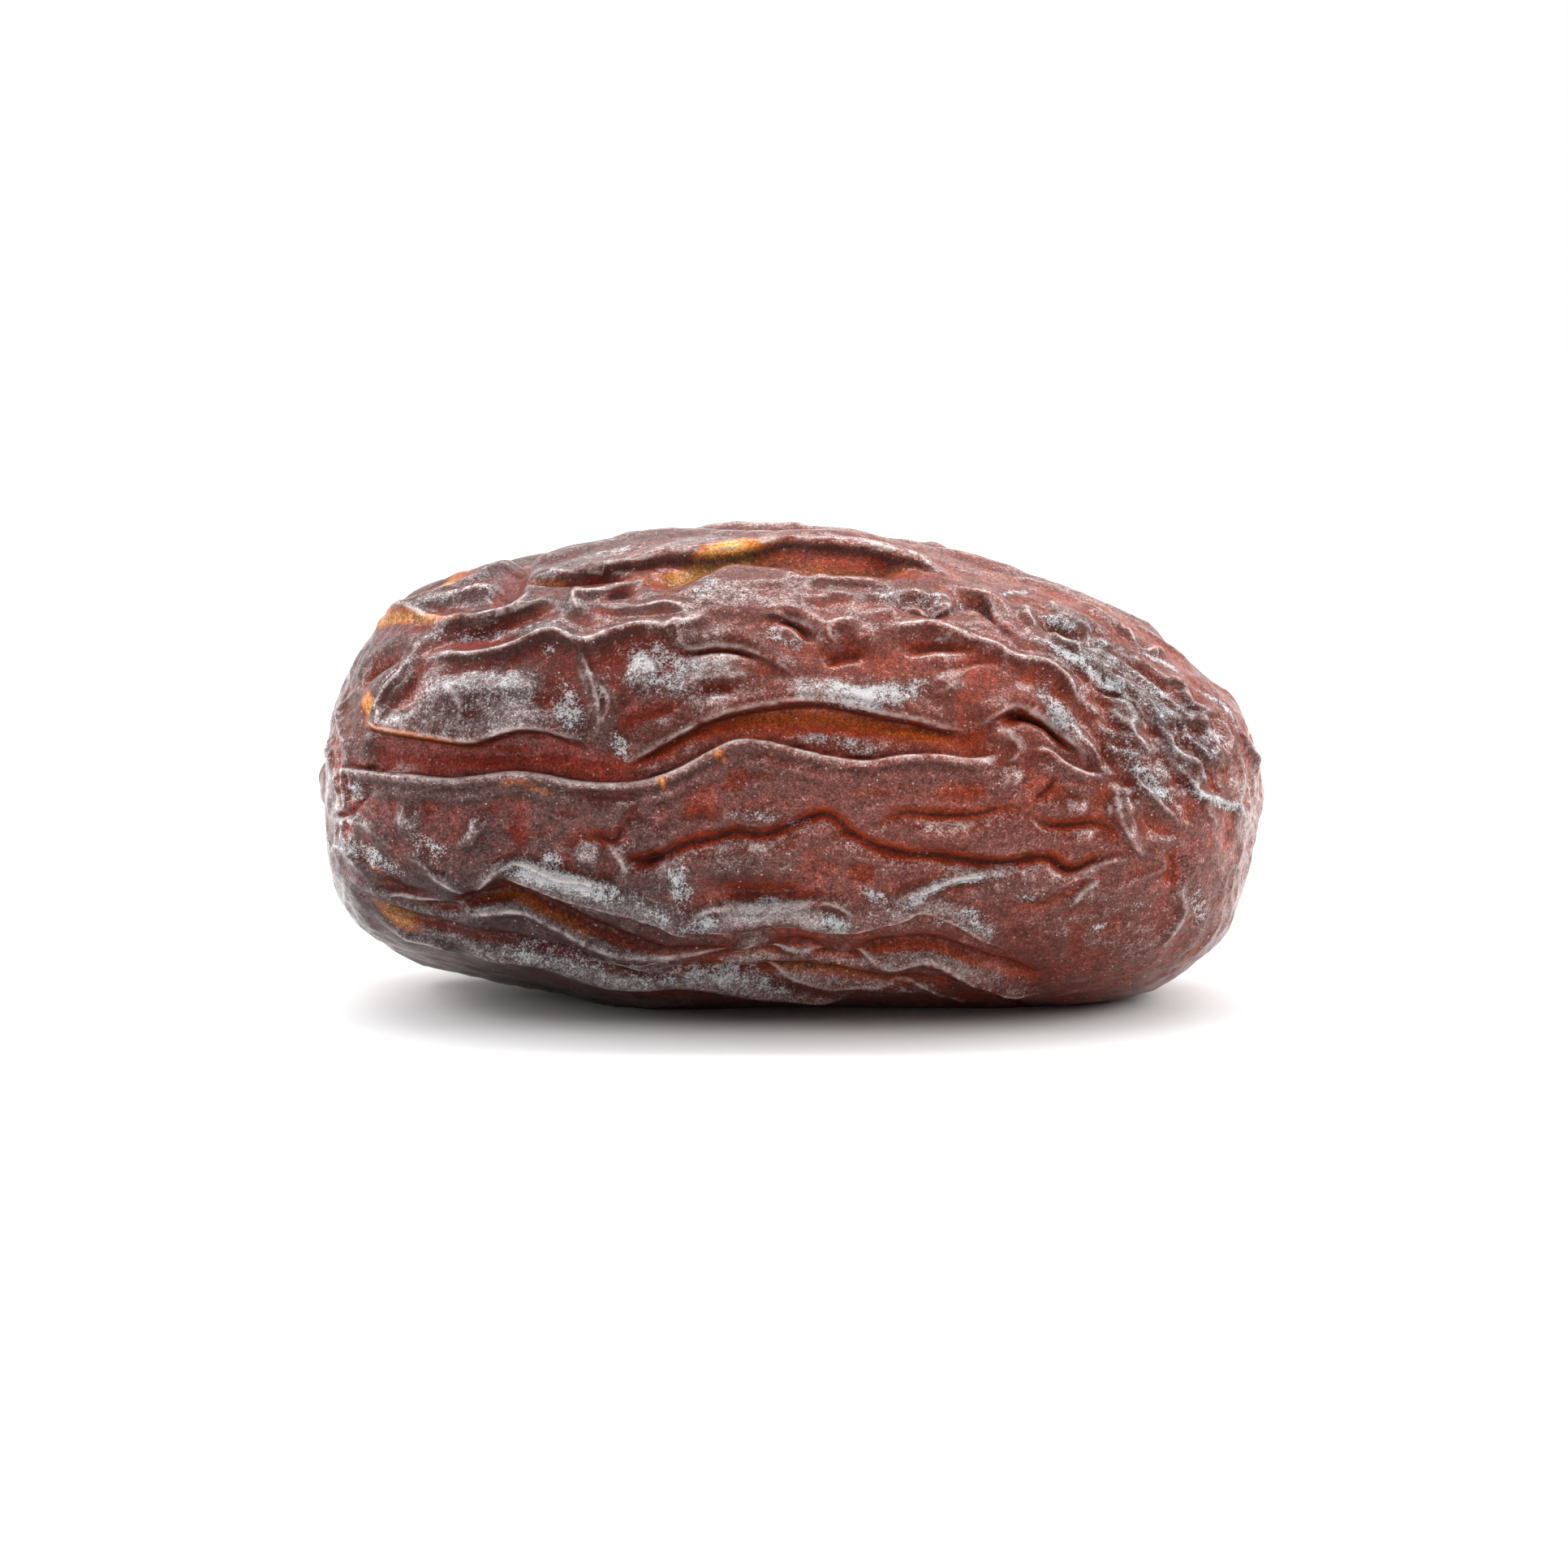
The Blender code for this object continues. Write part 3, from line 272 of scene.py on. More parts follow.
# Sharp valleys where two swollen parts of the skin meet
CREASES = {
    "slit": Fold(0.8, 0.26, ((643, 713), (680, 716), (720, 714), (760, 710), (786, 710))),
    "belly_crease": Fold(0.6, 0.32, ((762, 1062), (800, 1055), (845, 1037), (880, 1030), (905, 1022),
                                     (940, 1026), (975, 1014), (1000, 1004), (1018, 1001), (1032, 1008),
                                     (1043, 1022), (1062, 1031), (1082, 1041), (1110, 1048), (1160, 1051),
                                     (1205, 1058), (1245, 1059), (1275, 1054), (1295, 1057), (1308, 1068),
                                     (1325, 1068), (1345, 1058), (1372, 1047))),
    "right_crease": Fold(0.35, 0.28, ((1070, 1022), (1092, 1005), (1110, 1000), (1150, 1003), (1200, 1002),
                                      (1235, 993), (1264, 990))),
    "lobe_crease": Fold(0.4, 0.28, ((1262, 985), (1272, 1005), (1290, 1015), (1320, 1015), (1350, 1012),
                                    (1370, 1020), (1381, 1038))),
    "leaf_crease": Fold(0.3, 0.24, ((1300, 943), (1299, 962), (1285, 975), (1268, 990))),
    "gusset_crease": Fold(0.35, 0.24, ((703, 1031), (735, 1028), (757, 1035), (770, 1015), (785, 993),
                                       (802, 976))),
    "stem_crack": Fold(0.35, 0.22, ((404, 1004), (432, 1003), (446, 990), (456, 974), (477, 966))),
    "underside_crease": Fold(0.3, 0.26, ((1190, 1200), (1215, 1216), (1238, 1230), (1264, 1247))),
}

# Thin lines of skin that only the fine mesh can carry
FINE_CRESTS = {
    "pocket_line": Fold(0.15, 0.2, ((868, 862), (888, 865), (908, 862))),
    "top_channel_line": Fold(0.2, 0.2, ((960, 702), (1000, 705), (1045, 708), (1092, 716))),
    "long_pocket_line": Fold(0.2, 0.2, ((1140, 789), (1165, 791), (1192, 794))),
    "white_curl": Fold(0.2, 0.18, ((1138, 842), (1158, 835), (1171, 843), (1164, 851), (1142, 852))),
    "band_line": Fold(0.2, 0.18, ((1363, 985), (1366, 1010))),
    "below_crest_line": Fold(0.15, 0.18, ((600, 968), (640, 962), (662, 973), (690, 983))),
    "stem_pillow_line": Fold(0.15, 0.22, ((475, 966), (505, 964), (532, 973), (548, 988))),
    "stem_panel_line": Fold(0.2, 0.25, ((415, 1005), (450, 1022), (490, 1050))),
    "stem_edge_line": Fold(0.25, 0.2, ((397, 908), (402, 935), (404, 950))),
    "slit_sill": Fold(0.25, 0.2, ((690, 728), (730, 724), (765, 720), (783, 715))),
    "thread": Fold(0.12, 0.16, ((598, 833), (608, 826), (618, 818), (622, 808), (632, 800), (642, 799))),
    "pillow_fold": Fold(0.2, 0.24, ((545, 828), (553, 845), (562, 862), (562, 885), (552, 905))),
    "tip_line": Fold(0.2, 0.2, ((1485, 978), (1490, 1000), (1500, 1016))),
    "tip_line_2": Fold(0.2, 0.2, ((1420, 885), (1440, 905), (1455, 925), (1480, 945), (1485, 965))),
}

# Thin grooves that only the fine mesh can carry
FINE_CREASES = {
    "seam_groove": Fold(0.4, 0.2, ((716, 795), (727, 822), (738, 850), (742, 872), (739, 900))),
    "middle_line": Fold(0.2, 0.2, ((1135, 832), (1175, 823), (1215, 815), (1250, 822))),
    "below_crest_groove": Fold(0.25, 0.2, ((690, 978), (740, 981), (790, 978), (808, 968))),
    "stem_panel_groove": Fold(0.2, 0.18, ((407, 966), (416, 983), (425, 998))),
}

SEEN_FOLDS = {
    Form.TROUGH: (TROUGHS,),
    Form.SWELL: (SWELLS,),
    Form.UPPER_LIP: (UPPER_LIPS,),
    Form.LOWER_LIP: (LOWER_LIPS,),
    Form.CREST: (CRESTS, FINE_CRESTS),
    Form.CREASE: (CREASES, FINE_CREASES),
}

# What the fine mesh's folds have of the widths and the heights in the tables
WIDTH_SHARE = {
    Form.TROUGH: 1.0,
    Form.SWELL: 1.0,
    Form.UPPER_LIP: 0.65,
    Form.LOWER_LIP: 0.75,
    Form.CREST: 0.75,
    Form.CREASE: 0.62,
}
HEIGHT_SHARE = {
    Form.TROUGH: 1.1,
    Form.SWELL: 1.2,
    Form.UPPER_LIP: 1.1,
    Form.LOWER_LIP: 1.2,
    Form.CREST: 1.35,
    Form.CREASE: 1.45,
}

# Folds the photograph doesn't show, through (mm along X, degrees round the date): 0 is the front, 90 the top
HIDDEN_FOLDS = {
    "crown_notch": (Form.TROUGH, 0.6, 0.6, ((-13.4, 52), (-12.9, 66), (-12.6, 80), (-12.2, 96),
                                            (-11.5, 110))),
    "crown_ridge": (Form.UPPER_LIP, 0.55, 0.34, ((-19, 96), (-13, 88), (-6, 94), (2, 88), (9, 95), (15, 90),
                                                 (19, 97))),
    "crown_channel": (Form.TROUGH, 0.7, 0.75, ((-17, 106), (-10, 99), (-3, 104), (4, 98), (11, 104),
                                               (17, 103))),
    "crown_back_ridge": (Form.CREST, 0.45, 0.3, ((-20, 118), (-12, 113), (-5, 117), (3, 110), (10, 116),
                                                 (18, 114))),
    "under_ridge": (Form.LOWER_LIP, 0.45, 0.34, ((-20, -86), (-13, -80), (-7, -74), (0, -71), (7, -70),
                                                 (13, -76))),
    "under_back_ridge": (Form.CREST, 0.45, 0.32, ((-19, -108), (-12, -112), (-5, -108), (4, -113),
                                                  (12, -108), (18, -112))),
}

# Where white sugar bloom lies on the skin
BLOOM = {
    "white_patch": Patch(1.0, 0.5, ((995, 848), (1040, 856), (1085, 857), (1110, 853), (1138, 845))),
    "speckled_pillow": Patch(0.6, 1.3, ((760, 810), (810, 822), (870, 830))),
    "seam_side": Patch(0.75, 0.6, ((690, 850), (703, 878), (713, 903))),
    "left_pillow": Patch(0.28, 1.5, ((520, 850), (600, 845), (680, 840))),
    "below_gold": Patch(0.55, 0.45, ((852, 742), (865, 726), (880, 712))),
    "upper_pocket": Patch(0.5, 0.5, ((935, 775), (970, 785), (1000, 800))),
    "channel_end": Patch(0.5, 0.35, ((985, 905), (1030, 915), (1085, 925))),
    "shelf": Patch(0.9, 0.36, ((612, 1076), (640, 1072), (680, 1084), (730, 1095), (778, 1104))),
    "shelf_end": Patch(0.5, 0.4, ((780, 1110), (810, 1135), (830, 1155))),
    "gully_side": Patch(0.65, 0.45, ((828, 1058), (838, 1090), (846, 1126))),
    "pillow_left": Patch(0.8, 0.36, ((838, 1153), (862, 1138), (895, 1128))),
    "pillow_middle": Patch(0.45, 0.4, ((895, 1128), (950, 1124), (1000, 1128))),
    "pillow_right": Patch(0.8, 0.36, ((1000, 1130), (1030, 1140), (1058, 1152))),
    "ridge_start": Patch(0.75, 0.3, ((1062, 1096), (1076, 1103), (1090, 1109))),
    "ridge": Patch(0.8, 0.28, ((1095, 1122), (1140, 1101), (1190, 1084), (1250, 1072))),
    "below_ridge": Patch(0.5, 0.25, ((1180, 1120), (1198, 1125), (1215, 1130))),
    "low_right": Patch(0.45, 0.3, ((1140, 1136), (1190, 1145), (1240, 1155))),
    "right_shoulder": Patch(0.3, 1.7, ((1290, 780), (1380, 830), (1450, 880), (1510, 940))),
    "right_end": Patch(0.25, 1.2, ((1340, 860), (1400, 930), (1450, 985))),
    "shoulder_1": Patch(0.8, 0.25, ((1226, 733), (1250, 728), (1275, 724))),
    "shoulder_2": Patch(0.95, 0.3, ((1282, 757), (1300, 770), (1323, 780))),
    "shoulder_3": Patch(0.9, 0.3, ((1268, 775), (1303, 803), (1344, 827), (1382, 848), (1400, 862))),
    "shoulder_4": Patch(0.8, 0.4, ((1282, 834), (1289, 855), (1303, 876), (1323, 896), (1337, 910))),
    "shoulder_5": Patch(0.8, 0.3, ((1393, 799), (1427, 813), (1459, 834))),
    "shoulder_6": Patch(0.7, 0.3, ((1407, 848), (1427, 855), (1445, 862))),
    "shoulder_7": Patch(0.8, 0.3, ((1469, 848), (1504, 869), (1521, 896))),
    "shoulder_8": Patch(0.7, 0.35, ((1480, 895), (1497, 903), (1512, 915))),
    "shoulder_9": Patch(0.8, 0.3, ((1386, 938), (1407, 952), (1427, 973), (1452, 994))),
    "shoulder_10": Patch(0.85, 0.3, ((1452, 952), (1476, 973), (1511, 990), (1535, 997))),
    "pocket_end": Patch(0.9, 0.36, ((752, 905), (763, 922), (770, 934))),
    "seam_top": Patch(0.6, 0.3, ((672, 800), (682, 808))),
    "small_pillow": Patch(0.7, 0.35, ((668, 1046), (680, 1058), (688, 1070))),
    "stem_speckle": Patch(0.45, 0.6, ((500, 1035), (560, 1060))),
    "low_spot": Patch(0.7, 0.22, ((1254, 1104), (1282, 1108))),
    "low_spot_2": Patch(0.6, 0.25, ((1344, 1146), (1365, 1139))),
    "low_spot_3": Patch(0.5, 0.2, ((1395, 1115), (1408, 1115))),
    # underside_left, underside and underside_right: painted reflection of the white table, laid in as bloom
    # on the underside
    "underside_left": Patch(0.35, 0.55, ((600, 1170), (700, 1192), (770, 1206))),
    "underside": Patch(0.55, 0.45, ((770, 1206), (850, 1208), (915, 1211), (980, 1216))),
    "underside_right": Patch(0.4, 0.35, ((1100, 1217), (1130, 1221), (1160, 1226))),
    "slope": Patch(0.55, 0.35, ((905, 1004), (950, 1008), (1000, 1018))),
    "low_tip": Patch(0.35, 0.5, ((1452, 1080), (1475, 1115), (1480, 1150))),
    "upper_band": Patch(0.45, 0.45, ((500, 792), (600, 785), (700, 772))),
    # stem_panel, stem_panel_low and top_left: painted reflection of white on the glossy stem-end panels and
    # along the top-left edge, laid in as bloom
    "stem_panel": Patch(0.6, 0.45, ((408, 975), (435, 978), (456, 965))),
    "stem_panel_low": Patch(0.6, 0.5, ((420, 1028), (460, 1055), (495, 1080))),
    "top_left": Patch(0.5, 0.6, ((690, 690), (740, 682), (800, 672))),
    "crown": Patch(0.35, 0.9, ((1050, 725), (1140, 735), (1230, 745))),
}

# Where a thin grey haze veils the skin, with painted sheen and painted reflection in it
HAZE_AND_SHEEN = {
    "stem_end": Patch(1.0, 1.5, ((398, 930), (404, 1000), (420, 1070))),
    "left_pillow": Patch(0.85, 1.6, ((500, 850), (600, 852), (690, 868))),
    "flap": Patch(0.7, 1.0, ((500, 765), (580, 735), (650, 705))),
    "upper_band": Patch(0.75, 0.7, ((490, 795), (600, 783), (700, 768))),
    "speckled_pillow": Patch(1.0, 2.0, ((750, 800), (830, 820), (920, 800))),
    "crown_left": Patch(1.0, 1.0, ((690, 690), (760, 680), (850, 666), (930, 658))),
    "below_gold": Patch(0.7, 0.9, ((840, 750), (900, 735), (980, 730))),
    "crown": Patch(0.8, 1.0, ((1000, 660), (1100, 690), (1250, 710), (1400, 770))),
    "white_patch": Patch(0.8, 0.6, ((960, 840), (1040, 852), (1150, 845))),
    "long_pillow": Patch(0.7, 0.9, ((1080, 785), (1200, 800), (1300, 830))),
    "shoulder": Patch(0.6, 2.2, ((1300, 790), (1380, 850), (1440, 920), (1490, 990))),
    "tip": Patch(1.0, 2.4, ((1530, 900), (1540, 980), (1530, 1060))),
    "low_right": Patch(0.5, 1.8, ((1300, 1130), (1400, 1150), (1490, 1110))),
    "leaf": Patch(0.7, 0.6, ((1225, 950), (1270, 968), (1290, 950))),
    "upper_lobe": Patch(0.6, 0.7, ((1300, 1000), (1345, 1000))),
    "stem_pillow": Patch(0.6, 0.9, ((470, 1000), (520, 1040), (560, 1070))),
    "second_pillow": Patch(0.3, 0.8, ((580, 1010), (590, 1040))),
    "small_pillow": Patch(0.75, 0.6, ((680, 1050), (730, 1060), (760, 1085))),
    "shelf": Patch(1.0, 0.5, ((612, 1078), (680, 1092), (760, 1110), (820, 1145))),
    "bloom_pillow": Patch(1.0, 0.5, ((845, 1150), (880, 1132), (960, 1128), (1040, 1140))),
    "gully": Patch(0.8, 0.9, ((820, 1060), (838, 1095), (845, 1130))),
    "ridge": Patch(0.5, 0.6, ((1090, 1120), (1160, 1100), (1260, 1075))),
    "low_ridge": Patch(0.6, 0.4, ((1080, 1135), (1150, 1125), (1240, 1160))),
    "underside": Patch(0.5, 1.1, ((540, 1170), (700, 1200), (850, 1215), (1000, 1225), (1160, 1232))),
    "low_rim": Patch(0.7, 0.3, ((600, 1128), (700, 1155), (800, 1184), (920, 1172), (1060, 1187),
                                (1190, 1199))),
}

# Where the skin stands clear of the flesh and light comes through it, painted as a glow
AMBER_GLOW = {
    "flap_rim": Patch(1.0, 0.6, ((462, 764), (490, 752), (520, 738), (555, 714), (585, 698))),
    "flap_foot": Patch(0.85, 0.34, ((463, 775), (480, 767), (520, 760), (562, 761))),
    "stem_notch": Patch(0.8, 0.45, ((448, 850), (452, 866), (456, 884))),
    "sill": Patch(0.6, 0.25, ((440, 890), (480, 904), (540, 914), (600, 920))),
    "slit": Patch(0.95, 0.34, ((655, 713), (700, 717), (740, 715), (785, 711))),
    "gold": Patch(1.0, 0.8, ((800, 715), (820, 711), (845, 700), (870, 682), (900, 675), (955, 674))),
    "red_gold": Patch(0.55, 0.7, ((955, 678), (1020, 688), (1080, 694), (1140, 700))),
    "low_patch": Patch(0.8, 0.45, ((458, 1102), (490, 1120), (528, 1140))),
    "shelf_line": Patch(0.6, 0.16, ((570, 1115), (600, 1110), (640, 1108), (670, 1120), (700, 1135),
                                    (750, 1155))),
    "low_channel": Patch(0.6, 0.2, ((700, 1165), (800, 1188), (870, 1188), (950, 1185), (1060, 1205),
                                    (1100, 1208))),
    "channel_glow": Patch(0.42, 0.5, ((880, 892), (940, 884), (1000, 884), (1060, 892), (1120, 903),
                                      (1190, 914))),
    "arch_glow": Patch(0.35, 0.4, ((1232, 893), (1256, 884), (1285, 898), (1310, 918))),
    "spot": Patch(0.9, 0.22, ((811, 965), (818, 959))),
    "spot_2": Patch(0.8, 0.22, ((880, 930), (890, 926))),
    "below_crest": Patch(0.5, 0.12, ((600, 968), (640, 962), (662, 973), (690, 983))),
    "stem_low": Patch(0.6, 0.2, ((455, 1062), (475, 1075))),
    "low_tip_edge": Patch(0.5, 0.3, ((1340, 1232), (1370, 1232), (1400, 1225))),
    "tip_edge": Patch(0.5, 0.3, ((1440, 1200), (1465, 1175), (1480, 1150))),
    "shoulder_edge": Patch(0.35, 0.3, ((1160, 680), (1220, 696), (1280, 714))),
    "shoulder_edge_2": Patch(0.35, 0.3, ((1300, 722), (1360, 742), (1420, 770))),
}

# Where the skin is crumpled into a fine net of ridges
CRUMPLE = {
    "shoulder": Patch(1.0, 2.4, ((1290, 750), (1370, 820), (1440, 890), (1510, 960))),
    "shoulder_low": Patch(0.9, 1.4, ((1330, 900), (1390, 960), (1430, 1020))),
    "crown": Patch(0.5, 1.6, ((960, 700), (1060, 730), (1180, 740))),
    "stem_end": Patch(0.7, 1.3, ((410, 905), (418, 960), (425, 1020), (445, 1080))),
}

# Every painted mark, and how suddenly its strokes end
PAINTED = {"bloom": BLOOM, "haze_and_sheen": HAZE_AND_SHEEN, "amber_glow": AMBER_GLOW, "crumple": CRUMPLE}
FIRMNESS = {"bloom": 4.0, "haze_and_sheen": 3.0, "amber_glow": 6.0, "crumple": 2.0}

# The marks of the rims, where highlights are painted, and of the folds, where shade is painted: how strongly
# one is felt, and how far off it is
EDGE_MARKS = ("rim", "rim_side", "fold", "fold_side")

# The marks of the relief, with how often the skin is blurred to find what stands above its surroundings
RELIEF = {"ridge": 5, "level": 24, "height": 90}


class Noise:
    """Smooth seeded noise in space, roughly between -1 and 1.

    Attributes:
        GAIN: what brings it to about that range.
        BEND_SCALE: the scale of the noise that bends its ridges.
        BEND_OFFSETS: where that noise is read for each axis.
    """

    GAIN = 1.7
    BEND_SCALE = 0.6
    BEND_OFFSETS = (11.3, 37.7, 71.9)

    def __init__(self, seed: int) -> None:
        """Draws the noise's lattice of directions.

        Args:
            seed: the seed that they are drawn from.
        """
        draw = np.random.default_rng(seed)
        ways = draw.normal(size=(256, 3))
        self.ways = ways / np.linalg.norm(ways, axis=1, keepdims=True)
        self.order = draw.permutation(256)

    def at(self, points: np.ndarray) -> np.ndarray:
        """The noise at points.

        Args:
            points: places in the noise's own units, one a row.

        Returns:
            The noise at each of them.
        """
        cell = np.floor(points).astype(int)
        within = points - cell
        ease = within**3 * (within * (within * 6 - 15) + 10)
        total = np.zeros(len(points))
        for corner in product((0, 1), repeat=3):
            key = (cell + corner) & 255
            index = self.order[(self.order[(self.order[key[:, 0]] + key[:, 1]) & 255] + key[:, 2]) & 255]
            share = np.where(np.array(corner) == 1, ease, 1 - ease).prod(axis=1)
            total += share * ((within - corner) * self.ways[index]).sum(axis=1)
        return total * self.GAIN

    def ridged(self, points: np.ndarray, bend: float) -> np.ndarray:
        """Noise with sharp ridges, from 0.5 on them to below 0 between them.

        Args:
            points: places in the noise's own units, one a row.
            bend: how far the noise moves the places about, which keeps its ridges from running straight.

        Returns:
            The ridged noise at each of them.
        """
        shift = [self.at(points * self.BEND_SCALE + offset) for offset in self.BEND_OFFSETS]
        return 0.5 - 2.0 * np.abs(self.at(points + bend * np.stack(shift, axis=1)))


def smooth_step(t: np.ndarray) -> np.ndarray:
    """0 below 0, 1 above 1 and a smooth rise between."""
    t = np.clip(t, 0.0, 1.0)
    return t * t * (3 - 2 * t)


def smooth_through(at: np.ndarray, knots: np.ndarray, values: np.ndarray) -> np.ndarray:
    """The smooth cubic through knots.

    Args:
        at: where it is asked for. Places past the first or last knot are moved to it.
        knots: the rising places of the knots.
        values: the value, or the row of values, at each knot.

    Returns:
        The value, or the row of values, at each place.
    """
    at = np.clip(at, knots[0], knots[-1])
    slopes = np.gradient(values, knots, axis=0)
    cell = np.clip(np.searchsorted(knots, at, side="right") - 1, 0, len(knots) - 2)
    step = knots[cell + 1] - knots[cell]
    t = (at - knots[cell]) / step
    if values.ndim > 1:
        step, t = step[:, None], t[:, None]
    return (
        (2 * t**3 - 3 * t**2 + 1) * values[cell]
        + (t**3 - 2 * t**2 + t) * step * slopes[cell]
        + (3 * t**2 - 2 * t**3) * values[cell + 1]
        + (t**3 - t**2) * step * slopes[cell + 1]
    )


def blurred(grid: np.ndarray, times: int) -> np.ndarray:
    """A grid round the date, blurred by its neighbours.

    Args:
        grid: a row for each ring round the date.
        times: how often it is blurred.

    Returns:
        The blurred grid.
    """
    for _ in range(times):
        grid = (np.roll(grid, 1, axis=1) + 2 * grid + np.roll(grid, -1, axis=1)) / 4
        edged = np.pad(grid, ((1, 1), (0, 0)), mode="edge")
        grid = (edged[:-2] + 2 * grid + edged[2:]) / 4
    return grid


@dataclass
class PlainForm:
    """The date without its folds: a rounded section swept from the stem end to the tip.

    A place on it has a lengthwise angle, 0 at the stem end and half a turn at the tip, and an angle
    around, 0 at the front and a quarter turn on top.

    Attributes:
        length: from end to end.
        squareness: the section's exponent, 2 for an ellipse and more for a boxier one.
        stations: mm along X, lowest point, highest point and half depth there.
    """

    length: float = 46.0
    squareness: float = 2.25
    stations: tuple[tuple[float, float, float, float], ...] = (
        (-22.6, 8.3, 12.5, 2.7),
        (-21.9, 6.0, 14.1, 5.0),
        (-20.7, 3.9, 16.5, 7.4),
        (-19.0, 2.6, 18.7, 9.1),
        (-16.0, 1.6, 20.5, 10.4),
        (-12.0, 0.9, 21.3, 11.2),
        (-7.0, -0.3, 22.3, 11.7),
        (-1.0, -0.3, 22.6, 11.9),
        (5.0, -0.3, 22.2, 11.9),
        (10.0, -0.3, 20.9, 11.5),
        (14.0, -0.3, 19.8, 10.8),
        (18.0, 0.6, 17.6, 9.1),
        (20.5, 2.2, 15.7, 7.0),
        (21.9, 4.0, 14.6, 5.0),
        (22.6, 6.4, 13.2, 3.0),
    )

    def __post_init__(self) -> None:
        """Works out what the sections are interpolated from."""
        along, low, high, deep = np.array(self.stations).T
        self.knots = np.arccos(-2 * along / self.length)
        self.middle = (low + high) / 2
        self.high_share = (high - low) / 2 / np.sin(self.knots)
        self.deep_share = deep / np.sin(self.knots)

    def section(self, lengthwise: np.ndarray) -> tuple[np.ndarray, np.ndarray, np.ndarray]:
        """The sections at lengthwise angles.

        Args:
            lengthwise: the angles.

        Returns:
            Their middle heights, half heights and half depths.
        """
        ends = np.sin(lengthwise)
        return (
            smooth_through(lengthwise, self.knots, self.middle),
            np.maximum(ends * smooth_through(lengthwise, self.knots, self.high_share), 1e-6),
            np.maximum(ends * smooth_through(lengthwise, self.knots, self.deep_share), 1e-6),
        )

    def point(self, lengthwise: np.ndarray, around: np.ndarray) -> np.ndarray:
        """The form's points at pairs of angles.

        Args:
            lengthwise: the lengthwise angles.
            around: the angles around.

        Returns:
            The points, one a row.
        """
        middle, high, deep = self.section(lengthwise)
        front, up = np.cos(around), np.sin(around)
        power = self.squareness
        radius = (np.abs(front / deep) ** power + np.abs(up / high) ** power) ** (-1 / power)
        along = -self.length / 2 * np.cos(lengthwise)
        return np.stack([along, -radius * front, middle + radius * up], axis=-1)

    def normals(self, lengthwise: np.ndarray, around: np.ndarray) -> np.ndarray:
        """The form's outward unit normals at pairs of angles.

        Args:
            lengthwise: the lengthwise angles.
            around: the angles around.

        Returns:
            The normals, one a row.
        """
        step = 1e-3
        ahead = self.point(np.minimum(lengthwise + step, math.pi), around)
        along = ahead - self.point(np.maximum(lengthwise - step, 0), around)
        across = self.point(lengthwise, around + step) - self.point(lengthwise, around - step)
        ways = np.cross(along, across)
        at_pole = np.sin(lengthwise) < step
        ways[at_pole] = 0
        ways[at_pole, 0] = -np.cos(lengthwise[at_pole])
        return ways / np.linalg.norm(ways, axis=1, keepdims=True)

    def depth_share(self, points: np.ndarray) -> np.ndarray:
        """How deep points are in the form.

        Args:
            points: the points, in an array of any shape.

        Returns:
            A share that is below 1 inside the form and above 1 outside it.
        """
        x = np.clip(points[..., 0] / (self.length / 2), -0.9999, 0.9999)
        middle, high, deep = (part.reshape(x.shape) for part in self.section(np.arccos(-x).ravel()))
        past_end = np.maximum(np.abs(points[..., 0]) - self.length / 2, 0)
        sideways = np.abs(points[..., 1] / deep) ** self.squareness
        upright = np.abs((points[..., 2] - middle) / high) ** self.squareness
        return sideways + upright + past_end

    def angles(self, points: np.ndarray) -> tuple[np.ndarray, np.ndarray]:
        """The lengthwise and around angles of points on the form."""
        lengthwise = np.arccos(np.clip(-2 * points[:, 0] / self.length, -1, 1))
        return lengthwise, np.arctan2(points[:, 2] - self.section(lengthwise)[0], -points[:, 1])


